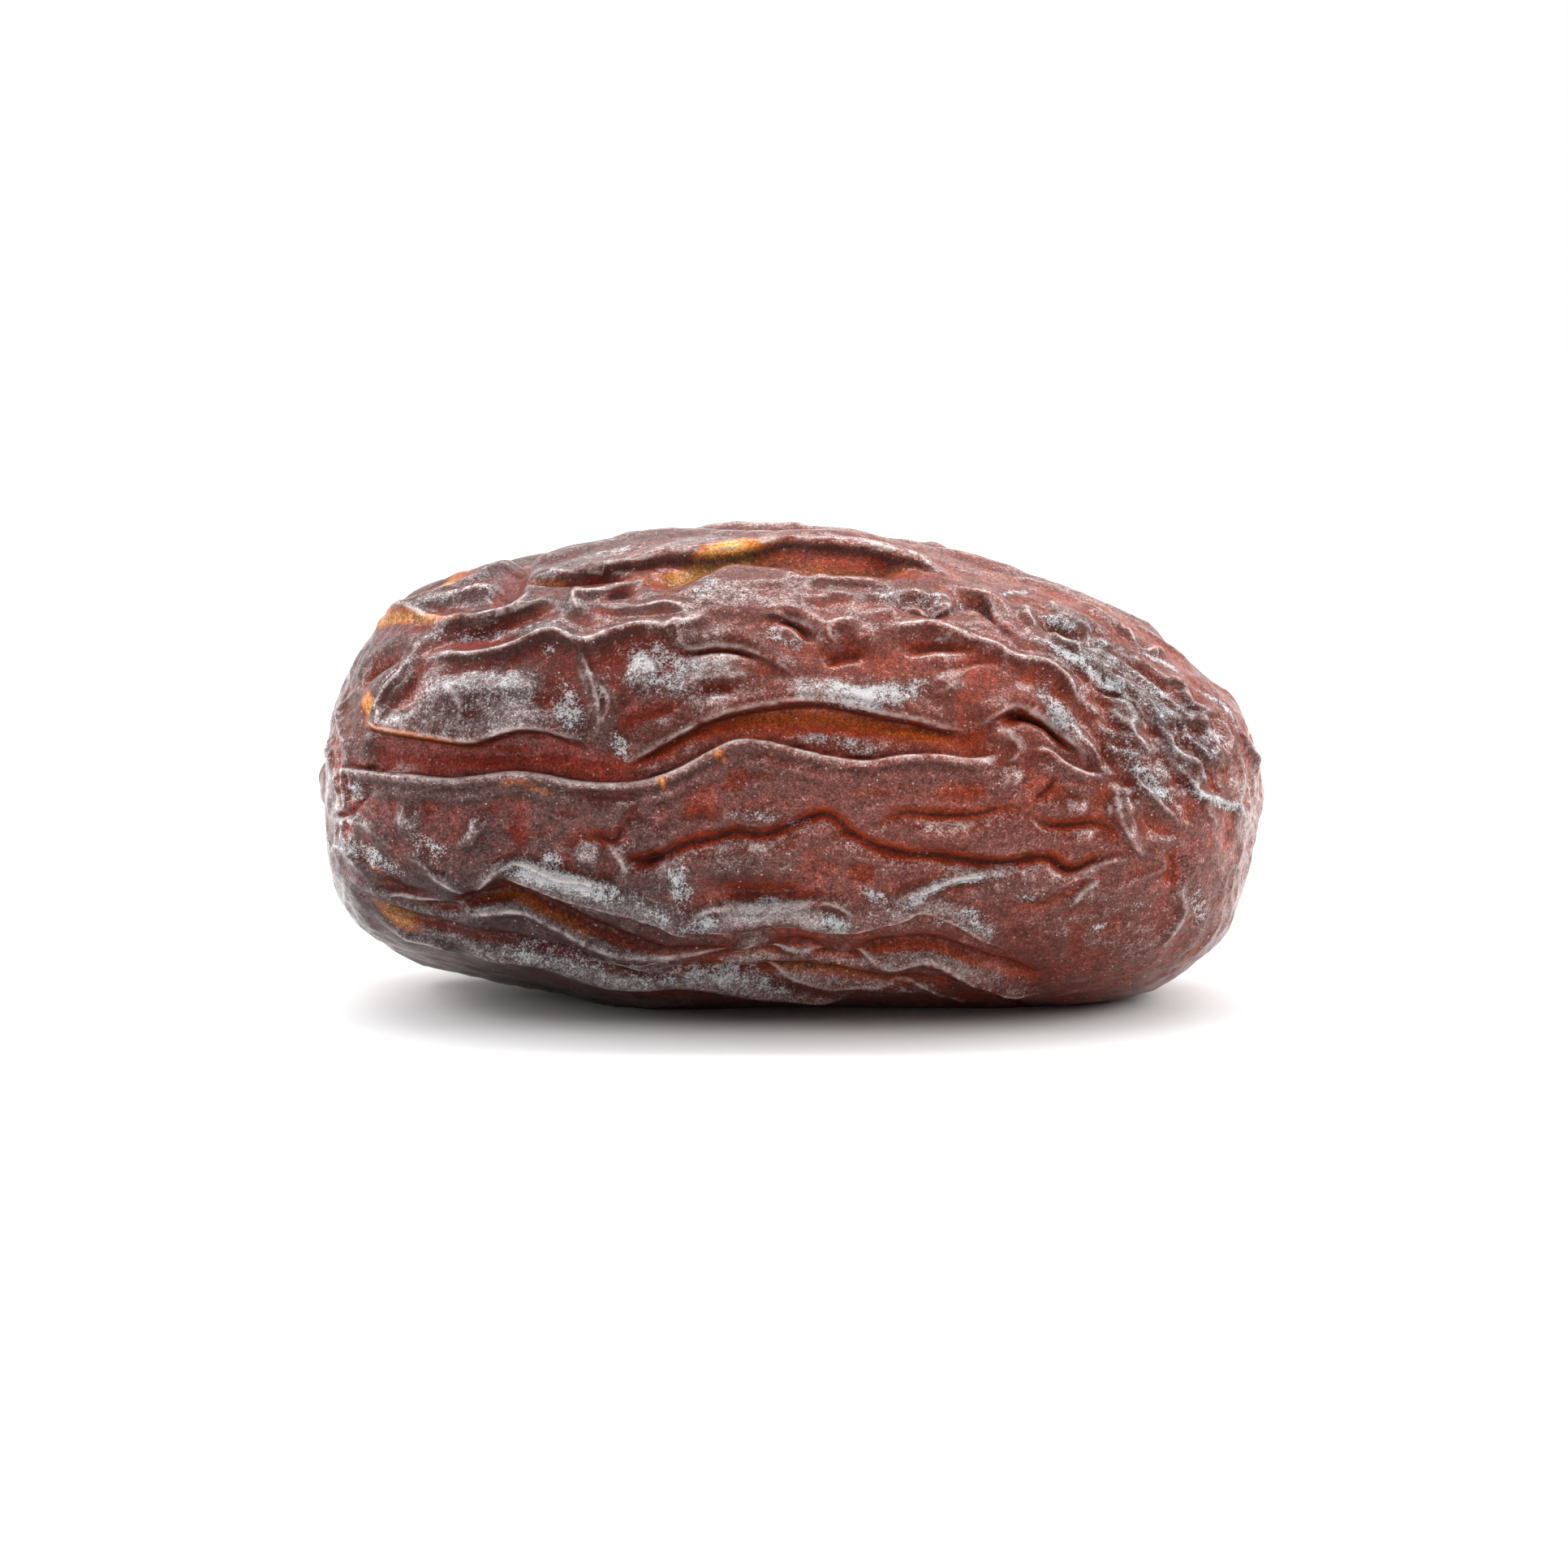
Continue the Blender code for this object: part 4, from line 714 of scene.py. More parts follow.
@dataclass
class PhotoView:
    """The photograph's viewer, who looks along +Y from a little above.

    Attributes:
        aim: the point at the middle of the picture.
        distance: from the eye to that point.
        elevation: the viewer's height above the table, as an angle.
        pixel: millimetres that a pixel spans at that point.
        frame_pixels: the picture's width and height.
        sidestep: how far to the right of the camera the strokes are laid from, because the laid date
            is moved as far to the left when it's centred.
        near_side: the angles round the date within which edge-on strokes are kept.
        search: how far before and behind the aim's distance the form is looked for.
        search_steps: in how many steps.
    """

    aim: tuple[float, float, float] = (-0.35, 0.0, 10.35)
    distance: float = 310.0
    elevation: float = math.radians(9.0)
    pixel: float = 46.0 / 1166.0
    frame_pixels: float = 1932.0
    sidestep: float = 0.467
    near_side: tuple[float, float] = (math.radians(-74), math.radians(86))
    search: float = 25.0
    search_steps: int = 1501

    def __post_init__(self) -> None:
        """Works out the eye's place and the directions of the picture."""
        back = np.array([0.0, -math.cos(self.elevation), math.sin(self.elevation)])
        self.eye = np.array(self.aim) + self.distance * back
        self.ahead = -back
        self.right = np.array([1.0, 0.0, 0.0])
        self.up = np.cross(self.right, self.ahead)
        self.laying_eye = self.eye + self.sidestep * self.right

    def onto(self, form: PlainForm, seen: Pixels) -> np.ndarray:
        """The points of the form's near side behind pixels.

        Args:
            form: the form that is looked at.
            seen: the pixels. One just off the form lands on its edge.

        Returns:
            A point for each pixel.
        """
        offset = (np.array(seen, float) - self.frame_pixels / 2) * self.pixel
        ways = self.ahead * self.distance + offset[:, :1] * self.right - offset[:, 1:] * self.up
        ways /= np.linalg.norm(ways, axis=1, keepdims=True)
        reach = np.linspace(self.distance - self.search, self.distance + self.search, self.search_steps)
        samples = self.laying_eye + ways[:, None, :] * reach[None, :, None]
        depth = form.depth_share(samples)
        inside = depth <= 1
        first = np.where(inside.any(axis=1), inside.argmax(axis=1), depth.argmin(axis=1))
        lengthwise, around = form.angles(samples[np.arange(len(first)), first])
        return form.point(lengthwise, np.clip(around, *self.near_side))

    def seen(self, points: np.ndarray) -> np.ndarray:
        """The pixels that points are seen at.

        Args:
            points: the points.

        Returns:
            A pixel for each of them.
        """
        offset = points - self.laying_eye
        scale = self.distance / self.pixel / (offset @ self.ahead)
        across = np.stack([offset @ self.right * scale, -(offset @ self.up) * scale], axis=1)
        return across + self.frame_pixels / 2

    def camera(self) -> bpy.types.Object:
        """Makes a camera in the viewer's place, with the photograph's framing.

        Returns:
            The camera.
        """
        lens = bpy.data.cameras.new("photo_view")
        lens.sensor_width = 36.0
        lens.lens = lens.sensor_width * self.distance / (self.frame_pixels * self.pixel)
        lens.clip_start = 0.01
        camera = bpy.data.objects.new("photo_view", lens)
        camera.location = Vector(self.eye) * METRES
        camera.rotation_mode = "QUATERNION"
        camera.rotation_quaternion = Vector(self.ahead).to_track_quat("-Z", "Y")
        return camera


class Stroke:
    """A fold or a patch that waits to be laid, with the pixels that it is aimed at.

    Attributes:
        FARTHEST: how many pixels its aim moves at most.
        CORRECTED: the share of a miss that one round of aiming takes out.
        ASKEW: how squarely the skin has to face the viewer before the aim moves at all.
        SQUARE: the same before it moves freely.
    """

    FARTHEST = 36.0
    CORRECTED = 0.8
    ASKEW = 0.42
    SQUARE = 0.75

    def __init__(self, form: Form | None, height: float, width: float, seen: Pixels) -> None:
        """Aims the stroke straight at the pixels that it is seen at.

        Args:
            form: how the skin rises or sinks along it, or none for a patch.
            height: its height, or its strength where it marks a patch.
            width: its half width.
            seen: the pixels.
        """
        self.form, self.height, self.width = form, height, width
        self.wanted = np.array(seen, float)
        self.aimed = self.wanted.copy()

    def aim_again(self, missed: np.ndarray, facing: np.ndarray) -> None:
        """Moves the aim by most of what it missed by.

        Args:
            missed: how many pixels each point was missed by.
            facing: how squarely the skin there faces the viewer. The aim moves less where it doesn't.
        """
        squareness = smooth_step((facing - self.ASKEW) / (self.SQUARE - self.ASKEW))
        farthest = self.FARTHEST * squareness[:, None]
        moved = np.clip(self.aimed + self.CORRECTED * missed - self.wanted, -farthest, farthest)
        self.aimed = self.wanted + moved


class FoldLine:
    """A stroke laid on the form as a smooth line of short chords.

    Reaches and places across it are in half widths, and depths are shares of its height.

    Attributes:
        CHORD: the length of a chord, in mm.
        REACH: how far away it is felt.
        TAPER: how far from its ends it fades, in mm.
        LIP_GENTLE: the reach of a lip's gentle side.
        LIP_FACE: the reach of its steep face.
        LIP_FOOT: the reach of the hollow at its foot.
        LIP_FOOT_DEPTH: that hollow's depth.
        LIP_LEAN: how far a lip leans over.
        LEAN_REACH: how far beside it the skin leans with it.
        LIP_FOLD: the place of the fold at its foot, where shade is painted.
        ROLL_GROOVE: the depth of the groove behind an upper lip's roll.
        ROLL_PLACE: the place of that groove.
        ROLL_WIDTH: its reach.
        CREST_ROUND: how round a crest is, in mm.
    """

    CHORD = 0.35
    REACH = 5.0
    TAPER = 1.8
    LIP_GENTLE = 2.5
    LIP_FACE = 0.7
    LIP_FOOT = 2.0
    LIP_FOOT_DEPTH = 0.5
    LIP_LEAN = 0.55
    LEAN_REACH = 1.5
    LIP_FOLD = 1.3
    ROLL_GROOVE = 0.42
    ROLL_PLACE = 1.35
    ROLL_WIDTH = 0.5
    CREST_ROUND = 0.06

    def __init__(self, height: float, width: float, points: np.ndarray) -> None:
        """Lays the stroke.

        Args:
            height: its height, or its strength where it marks a patch.
            width: its half width.
            points: the points that it passes through.
        """
        self.height, self.width = height, width
        steps = np.linalg.norm(np.diff(points, axis=0), axis=1)
        along = np.concatenate([[0.0], np.cumsum(steps)])
        count = max(4, int(along[-1] / self.CHORD))
        line = smooth_through(np.linspace(0, along[-1], count), along, points)
        self.start, self.chord = line[:-1], np.diff(line, axis=0)
        self.squared = np.maximum((self.chord**2).sum(axis=1), 1e-12)
        self.lengths = np.sqrt(self.squared)
        self.before = np.concatenate([[0.0], np.cumsum(self.lengths)[:-1]])
        self.total = self.lengths.sum()
        self.low, self.high = line.min(axis=0), line.max(axis=0)

    def near(self, points: np.ndarray, widths: float = REACH) -> np.ndarray:
        """Finds the points that the stroke is felt at.

        Args:
            points: the points.
            widths: how many half widths away it is felt at most.

        Returns:
            The numbers of those points.
        """
        reach = widths * self.width
        boxed = ((points > self.low - reach) & (points < self.high + reach)).all(axis=1)
        boxed = np.where(boxed)[0]
        posts = self.start[::6]
        gaps = ((points[boxed, None, :] - posts[None]) ** 2).sum(axis=2).min(axis=1)
        return boxed[gaps < (reach + 3 * self.CHORD) ** 2]

    def locate(self, points: np.ndarray, normals: np.ndarray) -> tuple[np.ndarray, np.ndarray, np.ndarray]:
        """Where points are beside the stroke.

        Args:
            points: the points.
            normals: the form's normals there.

        Returns:
            The distance from the stroke, positive on the left of its run, the unit way to that side, and
            the stroke's fade towards its ends.
        """
        offset = points[:, None, :] - self.start[None]
        share = np.clip((offset * self.chord).sum(axis=2) / self.squared, 0, 1)
        gap = offset - share[..., None] * self.chord
        squared = (gap**2).sum(axis=2)
        nearest = squared.argmin(axis=1)
        rows = np.arange(len(points))
        side = np.cross(normals, self.chord[nearest] / self.lengths[nearest, None])
        signed = np.sqrt(squared[rows, nearest]) * np.sign((side * gap[rows, nearest]).sum(axis=1))
        along = self.before[nearest] + share[rows, nearest] * self.lengths[nearest]
        fade = min(self.TAPER, self.total / 3)
        return signed, side, smooth_step(np.minimum(along, self.total - along) / fade)

    def shape(self, form: Form, signed: np.ndarray) -> tuple[np.ndarray, np.ndarray]:
        """The skin's shape across the stroke.

        Args:
            form: how it rises or sinks.
            signed: distances from the stroke.

        Returns:
            The skin's height at them, and how far it leans to the left.
        """
        level = np.zeros_like(signed)
        if form in (Form.TROUGH, Form.SWELL):
            bump = np.exp(-((signed / self.width) ** 2))
            return self.height * bump * (1 if form is Form.SWELL else -1), level
        if form in (Form.CREST, Form.CREASE):
            rounded = np.sqrt(signed**2 + self.CREST_ROUND**2) - self.CREST_ROUND
            bump = np.exp(-rounded / self.width)
            return self.height * bump * (1 if form is Form.CREST else -1), level
        toward = 1.0 if form is Form.UPPER_LIP else -1.0
        drop = signed * toward
        gentle = np.exp(np.minimum(drop, 0) / (self.LIP_GENTLE * self.width))
        gentle = gentle * smooth_step(2 + 2 * drop / (self.REACH * self.width))
        face = (1 + self.LIP_FOOT_DEPTH) * np.exp(-((drop / (self.LIP_FACE * self.width)) ** 2))
        foot = self.LIP_FOOT_DEPTH * np.exp(-((drop / (self.LIP_FOOT * self.width)) ** 2))
        if form is Form.UPPER_LIP:
            across = (drop / self.width + self.ROLL_PLACE) / self.ROLL_WIDTH
            gentle = gentle - self.ROLL_GROOVE * np.exp(-(across**2))
        height = self.height * np.where(drop < 0, gentle, face - foot)
        beside = np.exp(-((signed / (self.LEAN_REACH * self.width)) ** 2))
        return height, toward * self.LIP_LEAN * self.height * beside

    def edges(self, form: Form, signed: np.ndarray) -> dict[str, np.ndarray]:
        """The distances from a stroke's rim, where a highlight is painted, and from its fold, where shade is
        painted, where it has them.

        Args:
            form: how the skin rises or sinks along it.
            signed: distances from the stroke.

        Returns:
            The distances by the name of their mark.
        """
        if form is Form.CREST:
            return {"rim": signed}
        if form is Form.CREASE:
            return {"fold": signed}
        if form in (Form.UPPER_LIP, Form.LOWER_LIP):
            toward = 1.0 if form is Form.UPPER_LIP else -1.0
            return {"rim": signed, "fold": signed * toward - self.LIP_FOLD * self.width}
        return {}


@dataclass
class DateSkin:
    """The date's folded skin as one fine closed mesh, with marks for where the bloom and the painted glow of
    thin skin are.

    Attributes:
        form: the plain form that the folds are laid on.
        view: the viewer that the strokes were seen by.
        round_segments: faces round the date.
        long_segments: faces from the stem end to the tip.
        front_share: how much closer the faces lie on the front than on the far side.
        aim_rounds: how often the strokes are aimed again.
        far_wave: how far the far side's copies of the folds are bent, as an angle.
        rest_centre: the middle of the spot that the date rests on, along X and Y.
        rest_reach: that spot's reach along X and Y.
        rest_blend: the width of the blend round it.
        dimple: the depth and the reach of the dimple at the stem end.
        button: the height and the reach of the button in it.
        tip_point: the height and the reach of the point at the tip.
        PATCH_REACH: how many half widths away a patch is felt.
        PATCH_END: the share of a patch's strength that is left at its ends.
        FULL_EDGE: the height of folds whose edges are marked most strongly.
        EDGE_REACH: about how far from an edge its mark reaches.
        LOW_SIDE: what the spot that the date rests on lies below.
        FAR_SWAY: how far the far side's copies are bent lengthwise, as an angle.
        END_GAP: how close those copies come to the ends, as an angle.
    """

    PATCH_REACH = 2.4
    PATCH_END = 0.35
    FULL_EDGE = 0.45
    EDGE_REACH = 0.5
    LOW_SIDE = 4.0
    FAR_SWAY = 0.09
    END_GAP = 0.05

    form: PlainForm
    view: PhotoView
    round_segments: int = 280
    long_segments: int = 354
    front_share: float = 0.45
    aim_rounds: int = 4
    far_wave: float = 0.17
    rest_centre: tuple[float, float] = (2.5, 0.0)
    rest_reach: tuple[float, float] = (9.5, 4.0)
    rest_blend: float = 1.6
    dimple: tuple[float, float] = (1.3, 2.6)
    button: tuple[float, float] = (0.7, 1.1)
    tip_point: tuple[float, float] = (0.35, 0.9)

    def build(self) -> bpy.types.Object:
        """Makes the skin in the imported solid's place, with its marks as attributes.

        Returns:
            The finished skin.
        """
        shape, lengthwise, turn = self.plain_mesh()
        around = turn - self.front_share * np.sin(turn)
        points, marks = self.folded(lengthwise, around, self.rings(lengthwise, turn))
        points = self.fitted(points)
        for vertex, place in zip(shape.verts, points):
            vertex.co = Vector(place) * METRES
        shape.normal_update()
        upright = np.array([vertex.normal.z for vertex in shape.verts])
        marks["tilt"] = upright - self.form.normals(lengthwise, around)[:, 2]
        mesh = bpy.data.meshes.new("date_skin")
        shape.to_mesh(mesh)
        shape.free()
        for name, values in marks.items():
            mark = mesh.attributes.new(name, "FLOAT", "POINT")
            mark.data.foreach_set("value", values.astype(np.float32))
        mesh.shade_smooth()
        return bpy.data.objects.new("date_skin", mesh)

    def plain_mesh(self) -> tuple[bmesh.types.BMesh, np.ndarray, np.ndarray]:
        """A sphere's mesh with its poles at the ends of the date.

        Returns:
            The mesh, and the lengthwise angles and even angles around of its vertices.
        """
        shape = bmesh.new()
        bmesh.ops.create_uvsphere(shape, u_segments=self.round_segments, v_segments=self.long_segments,
                                  radius=1.0)
        unit = np.array([vertex.co for vertex in shape.verts])
        lengthwise = np.arccos(np.clip(-unit[:, 2], -1, 1))
        return shape, lengthwise, np.arctan2(-unit[:, 1], unit[:, 0])

    def rings(self, lengthwise: np.ndarray, turn: np.ndarray) -> np.ndarray:
        """The numbers of the vertices between the poles, a row for each ring of them.

        Args:
            lengthwise: the vertices' lengthwise angles.
            turn: their even angles around.

        Returns:
            The numbers, ring by ring from the stem end and in order of their turn.
        """
        ring = np.round(lengthwise / math.pi * self.long_segments).astype(int)
        column = np.round(turn / (2 * math.pi) * self.round_segments).astype(int) % self.round_segments
        order = np.lexsort((column, ring))
        between = (ring[order] > 0) & (ring[order] < self.long_segments)
        return order[between].reshape(-1, self.round_segments)

    def folded(self, lengthwise: np.ndarray, around: np.ndarray,
               rings: np.ndarray) -> tuple[np.ndarray, dict[str, np.ndarray]]:
        """The folded skin above the plain form.

        Args:
            lengthwise: the vertices' lengthwise angles.
            around: their angles around.
            rings: their numbers, a row for each ring.

        Returns:
            The vertices' points, and for each mark its strength at them.
        """
        points = self.form.point(lengthwise, around)
        normals = self.form.normals(lengthwise, around)
        folds, painted = self.strokes()
        self.aim(folds + [stroke for strokes in painted.values() for stroke in strokes], folds)
        raised, leaned, marks = self.field(self.all_lines(folds), points, normals)
        for name, strokes in painted.items():
            marks[name] = self.painted(strokes, points, normals, FIRMNESS[name])
        wrinkled = self.wrinkles(points, marks["crumple"])
        mask = self.off_rest(points)
        shift = normals * ((raised + wrinkled) * mask)[:, None] + leaned * mask[:, None]
        for axis in range(3):
            shift[rings, axis] = blurred(shift[rings, axis], 1)
        moved = points + shift
        moved[:, 0] += self.end_marks(lengthwise)
        grid = ((raised + wrinkled) * mask)[rings]
        for name, times in RELIEF.items():
            marks[name] = np.zeros(len(points))
            marks[name][rings] = grid - blurred(grid, times)
        return moved, marks

    def strokes(self) -> tuple[list[Stroke], dict[str, list[Stroke]]]:
        """Gathers what is seen in the photograph.

        Returns:
            Every fold that is seen, and the strokes of every mark.
        """
        folds = [
            Stroke(form, fold.height * HEIGHT_SHARE[form], fold.width * WIDTH_SHARE[form], fold.seen)
            for form, groups in SEEN_FOLDS.items()
            for group in groups
            for fold in group.values()
        ]
        painted = {
            name: [Stroke(None, patch.strength, patch.width, patch.seen) for patch in patches.values()]
            for name, patches in PAINTED.items()
        }
        return folds, painted

    def aim(self, strokes: list[Stroke], folds: list[Stroke]) -> None:
        """Aims strokes so that they are seen where they should be after the folds have moved the skin.

        Args:
            strokes: the strokes that are aimed.
            folds: those of them that move the skin.
        """
        for _ in range(self.aim_rounds):
            lines = [(fold.form, self.laid(fold)) for fold in folds]
            points = np.concatenate([self.view.onto(self.form, stroke.aimed) for stroke in strokes])
            lengthwise, around = self.form.angles(points)
            normals = self.form.normals(lengthwise, around)
            raised, leaned, _ = self.field(lines, points, normals)
            mask = self.off_rest(points)[:, None]
            seen = self.view.seen(points + (normals * raised[:, None] + leaned) * mask)
            facing = -(normals @ self.view.ahead)
            start = 0
            for stroke in strokes:
                end = start + len(stroke.wanted)
                stroke.aim_again(stroke.wanted - seen[start:end], facing[start:end])
                start = end

    def laid(self, stroke: Stroke) -> FoldLine:
        """A stroke laid on the near side."""
        return FoldLine(stroke.height, stroke.width, self.view.onto(self.form, stroke.aimed))

    def far_laid(self, stroke: Stroke) -> FoldLine:
        """The copy of a stroke on the far side."""
        seen = self.view.onto(self.form, stroke.aimed)
        return FoldLine(stroke.height, stroke.width, self.far_copy(seen))

    def all_lines(self, folds: list[Stroke]) -> list[tuple[Form, FoldLine]]:
        """Lays the folds that are seen, their far copies and the hidden ones on the form.

        Args:
            folds: the folds that are seen.

        Returns:
            The form and the line of every fold.
        """
        lines = [(fold.form, lay(fold)) for fold in folds for lay in (self.laid, self.far_laid)]
        for form, height, width, places in HIDDEN_FOLDS.values():
            along, around = np.array(places, float).T
            points = self.form.point(np.arccos(-2 * along / self.form.length), np.radians(around))
            lines.append((form, FoldLine(height * HEIGHT_SHARE[form], width * WIDTH_SHARE[form], points)))
        return lines

    def field(self, lines: list[tuple[Form, FoldLine]], points: np.ndarray,
              normals: np.ndarray) -> tuple[np.ndarray, np.ndarray, dict[str, np.ndarray]]:
        """What the folds do at points.

        Args:
            lines: the laid folds.
            points: the form's points.
            normals: its normals there.

        Returns:
            How far the skin is raised and leaned over, and the marks of the edges and folds: how
            strongly one is felt and how far off it is.
        """
        raised, leaned = np.zeros(len(points)), np.zeros_like(points)
        marks = {name: np.zeros(len(points)) for name in EDGE_MARKS}
        for form, line in lines:
            near = line.near(points)
            if not len(near):
                continue
            signed, side, fade = line.locate(points[near], normals[near])
            height, lean = line.shape(form, signed)
            raised[near] += height * fade
            leaned[near] += side * (lean * fade)[:, None]
            for name, off in line.edges(form, signed).items():
                sharpness = min(1.0, line.height / self.FULL_EDGE)
                strength = fade * sharpness * np.exp(-((off / self.EDGE_REACH) ** 2))
                stronger = strength > marks[name][near]
                marks[name + "_side"][near[stronger]] = off[stronger]
                marks[name][near] = np.maximum(marks[name][near], strength)
        return raised, leaned, marks

    def far_copy(self, points: np.ndarray) -> np.ndarray:
        """Carries a stroke round to the far side, bent so that the two sides differ.

        Args:
            points: the stroke's points.

        Returns:
            The points of its copy.
        """
        lengthwise, around = self.form.angles(points)
        bent = around + math.pi + self.far_wave * np.sin(2.3 * lengthwise + 1.1)
        moved = lengthwise + self.FAR_SWAY * np.sin(3.0 * around + 0.7) * np.sin(lengthwise)
        return self.form.point(np.clip(moved, self.END_GAP, math.pi - self.END_GAP), bent)

    def painted(self, strokes: list[Stroke], points: np.ndarray, normals: np.ndarray,
                firmness: float) -> np.ndarray:
        """The strength of a mark at points.

        Args:
            strokes: the strokes that paint the mark on the front. The far side gets copies of them.
            points: the form's points.
            normals: its normals there.
            firmness: how suddenly the strokes end, 2 for soft ones and more for firmer ones.

        Returns:
            The strength, 0 to 1, where the strongest stroke counts.
        """
        strength = np.zeros(len(points))
        for line in (lay(stroke) for stroke in strokes for lay in (self.laid, self.far_laid)):
            near = line.near(points, self.PATCH_REACH)
            signed, _, fade = line.locate(points[near], normals[near])
            ended = self.PATCH_END + (1 - self.PATCH_END) * fade
            here = line.height * ended * np.exp(-np.abs(signed / line.width) ** firmness)
            strength[near] = np.maximum(strength[near], here)
        return strength

    def wrinkles(self, points: np.ndarray, crumple: np.ndarray) -> np.ndarray:
        """The height of the wrinkles between the folds.

        Args:
            points: the form's points.
            crumple: how crumpled the skin is at them.

        Returns:
            The wrinkles' height: soft swells, two sizes of ridged noise drawn out along the date, and a
            slanted net of ridges where the skin is crumpled.
        """
        drawn_out = points * (1 / 2.6, 1.0, 1.0)
        slanted = points @ np.array([[0.75, 0.0, 0.45], [0.0, 1.0, 0.0], [-0.35, 0.0, 0.9]])
        wide, middle, fine, net = Noise(3), Noise(7), Noise(13), Noise(29)
        swell = 0.18 * wide.at(points / 4.5) + 0.1 * wide.at(points * (0.6, 1.0, 1.0) / 1.9 + 31.0)
        ridge = (0.1 + 0.08 * crumple) * middle.ridged(drawn_out / 1.3, 0.5)
        small = (0.04 + 0.05 * crumple) * fine.ridged(drawn_out / 0.6, 0.5)
        crumpled = 0.42 * net.ridged(slanted * (0.5, 1.0, 1.0) / 0.9, 0.7)
        return swell + ridge + small + crumple * crumpled

    def end_marks(self, lengthwise: np.ndarray) -> np.ndarray:
        """Shapes the dimple and button at the stem end and the point at the tip.

        Args:
            lengthwise: the vertices' lengthwise angles.

        Returns:
            Their shifts along X.
        """
        radius = np.sin(lengthwise) * self.form.high_share[0]
        dimple = self.dimple[0] * np.exp(-((radius / self.dimple[1]) ** 2))
        button = self.button[0] * np.exp(-((radius / self.button[1]) ** 4))
        tip = self.tip_point[0] * np.exp(-((radius / self.tip_point[1]) ** 2))
        return np.where(np.cos(lengthwise) > 0, dimple - button, tip)

    def off_rest(self, points: np.ndarray) -> np.ndarray:
        """Masks the spot that the date rests on, so that the folds leave it plain.

        Args:
            points: the form's points.

        Returns:
            0 on the spot and 1 away from it.
        """
        across = (points[:, 0] - self.rest_centre[0]) / self.rest_reach[0]
        deep = (points[:, 1] - self.rest_centre[1]) / self.rest_reach[1]
        outward = (np.sqrt(across**2 + deep**2) - 1) * self.rest_reach[1]
        return np.where(points[:, 2] < self.LOW_SIDE, smooth_step(outward / self.rest_blend), 1.0)

    def fitted(self, points: np.ndarray) -> np.ndarray:
        """Rests the skin level on the table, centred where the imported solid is.

        Args:
            points: its points.

        Returns:
            The moved points.
        """
        low, high = (np.array(corner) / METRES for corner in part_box(NODE))
        points = points.copy()
        points[:, 2] = np.maximum(points[:, 2], 0)
        middle = (points.min(axis=0) + points.max(axis=0)) / 2
        moved = (low + high) / 2 - middle
        moved[2] = 0
        log.info("centred by %.3f, %.3f mm", moved[0], moved[1])
        return points + moved


class Wire:
    """A shader value that sums, differences, products and powers can be written with."""

    def __init__(self, tree: "NodeTree", socket: bpy.types.NodeSocket) -> None:
        """Wraps a node's output socket."""
        self.tree, self.socket = tree, socket

    def math(self, operation: str, *values: Any) -> "Wire":
        """The result of a Math node on values, the first of which may be this one."""
        return self.tree.node("ShaderNodeMath", {"operation": operation}, dict(enumerate(values)))

    def __add__(self, other: Any) -> "Wire":
        """This value plus another."""
        return self.math("ADD", self, other)

    __radd__ = __add__

    def __sub__(self, other: Any) -> "Wire":
        """This value less another."""
        return self.math("SUBTRACT", self, other)

    def __rsub__(self, other: Any) -> "Wire":
        """Another value less this one."""
        return self.math("SUBTRACT", other, self)

    def __mul__(self, other: Any) -> "Wire":
        """This value times another."""
        return self.math("MULTIPLY", self, other)

    __rmul__ = __mul__

    def __rpow__(self, other: Any) -> "Wire":
        """Another value to the power of this one."""
        return self.math("POWER", other, self)

    def magnitude(self) -> "Wire":
        """This value without its sign."""
        return self.math("ABSOLUTE", self)

    def clamped(self, low: float = 0.0, high: float = 1.0) -> "Wire":
        """This value kept within two others."""
        return self.math("MINIMUM", self.math("MAXIMUM", self, low), high)

    def rise(self, low: float, high: float) -> "Wire":
        """A smooth rise with this value.

        Args:
            low: where it is 0 still.
            high: where it has reached 1. If it is below low, this is a fall from 1 to 0 instead.

        Returns:
            The value between 0 and 1.
        """
        settings = {"interpolation_type": "SMOOTHSTEP"}
        sockets = {"Value": self, "From Min": min(low, high), "From Max": max(low, high)}
        risen = self.tree.node("ShaderNodeMapRange", settings, sockets)
        return risen if low < high else 1.0 - risen


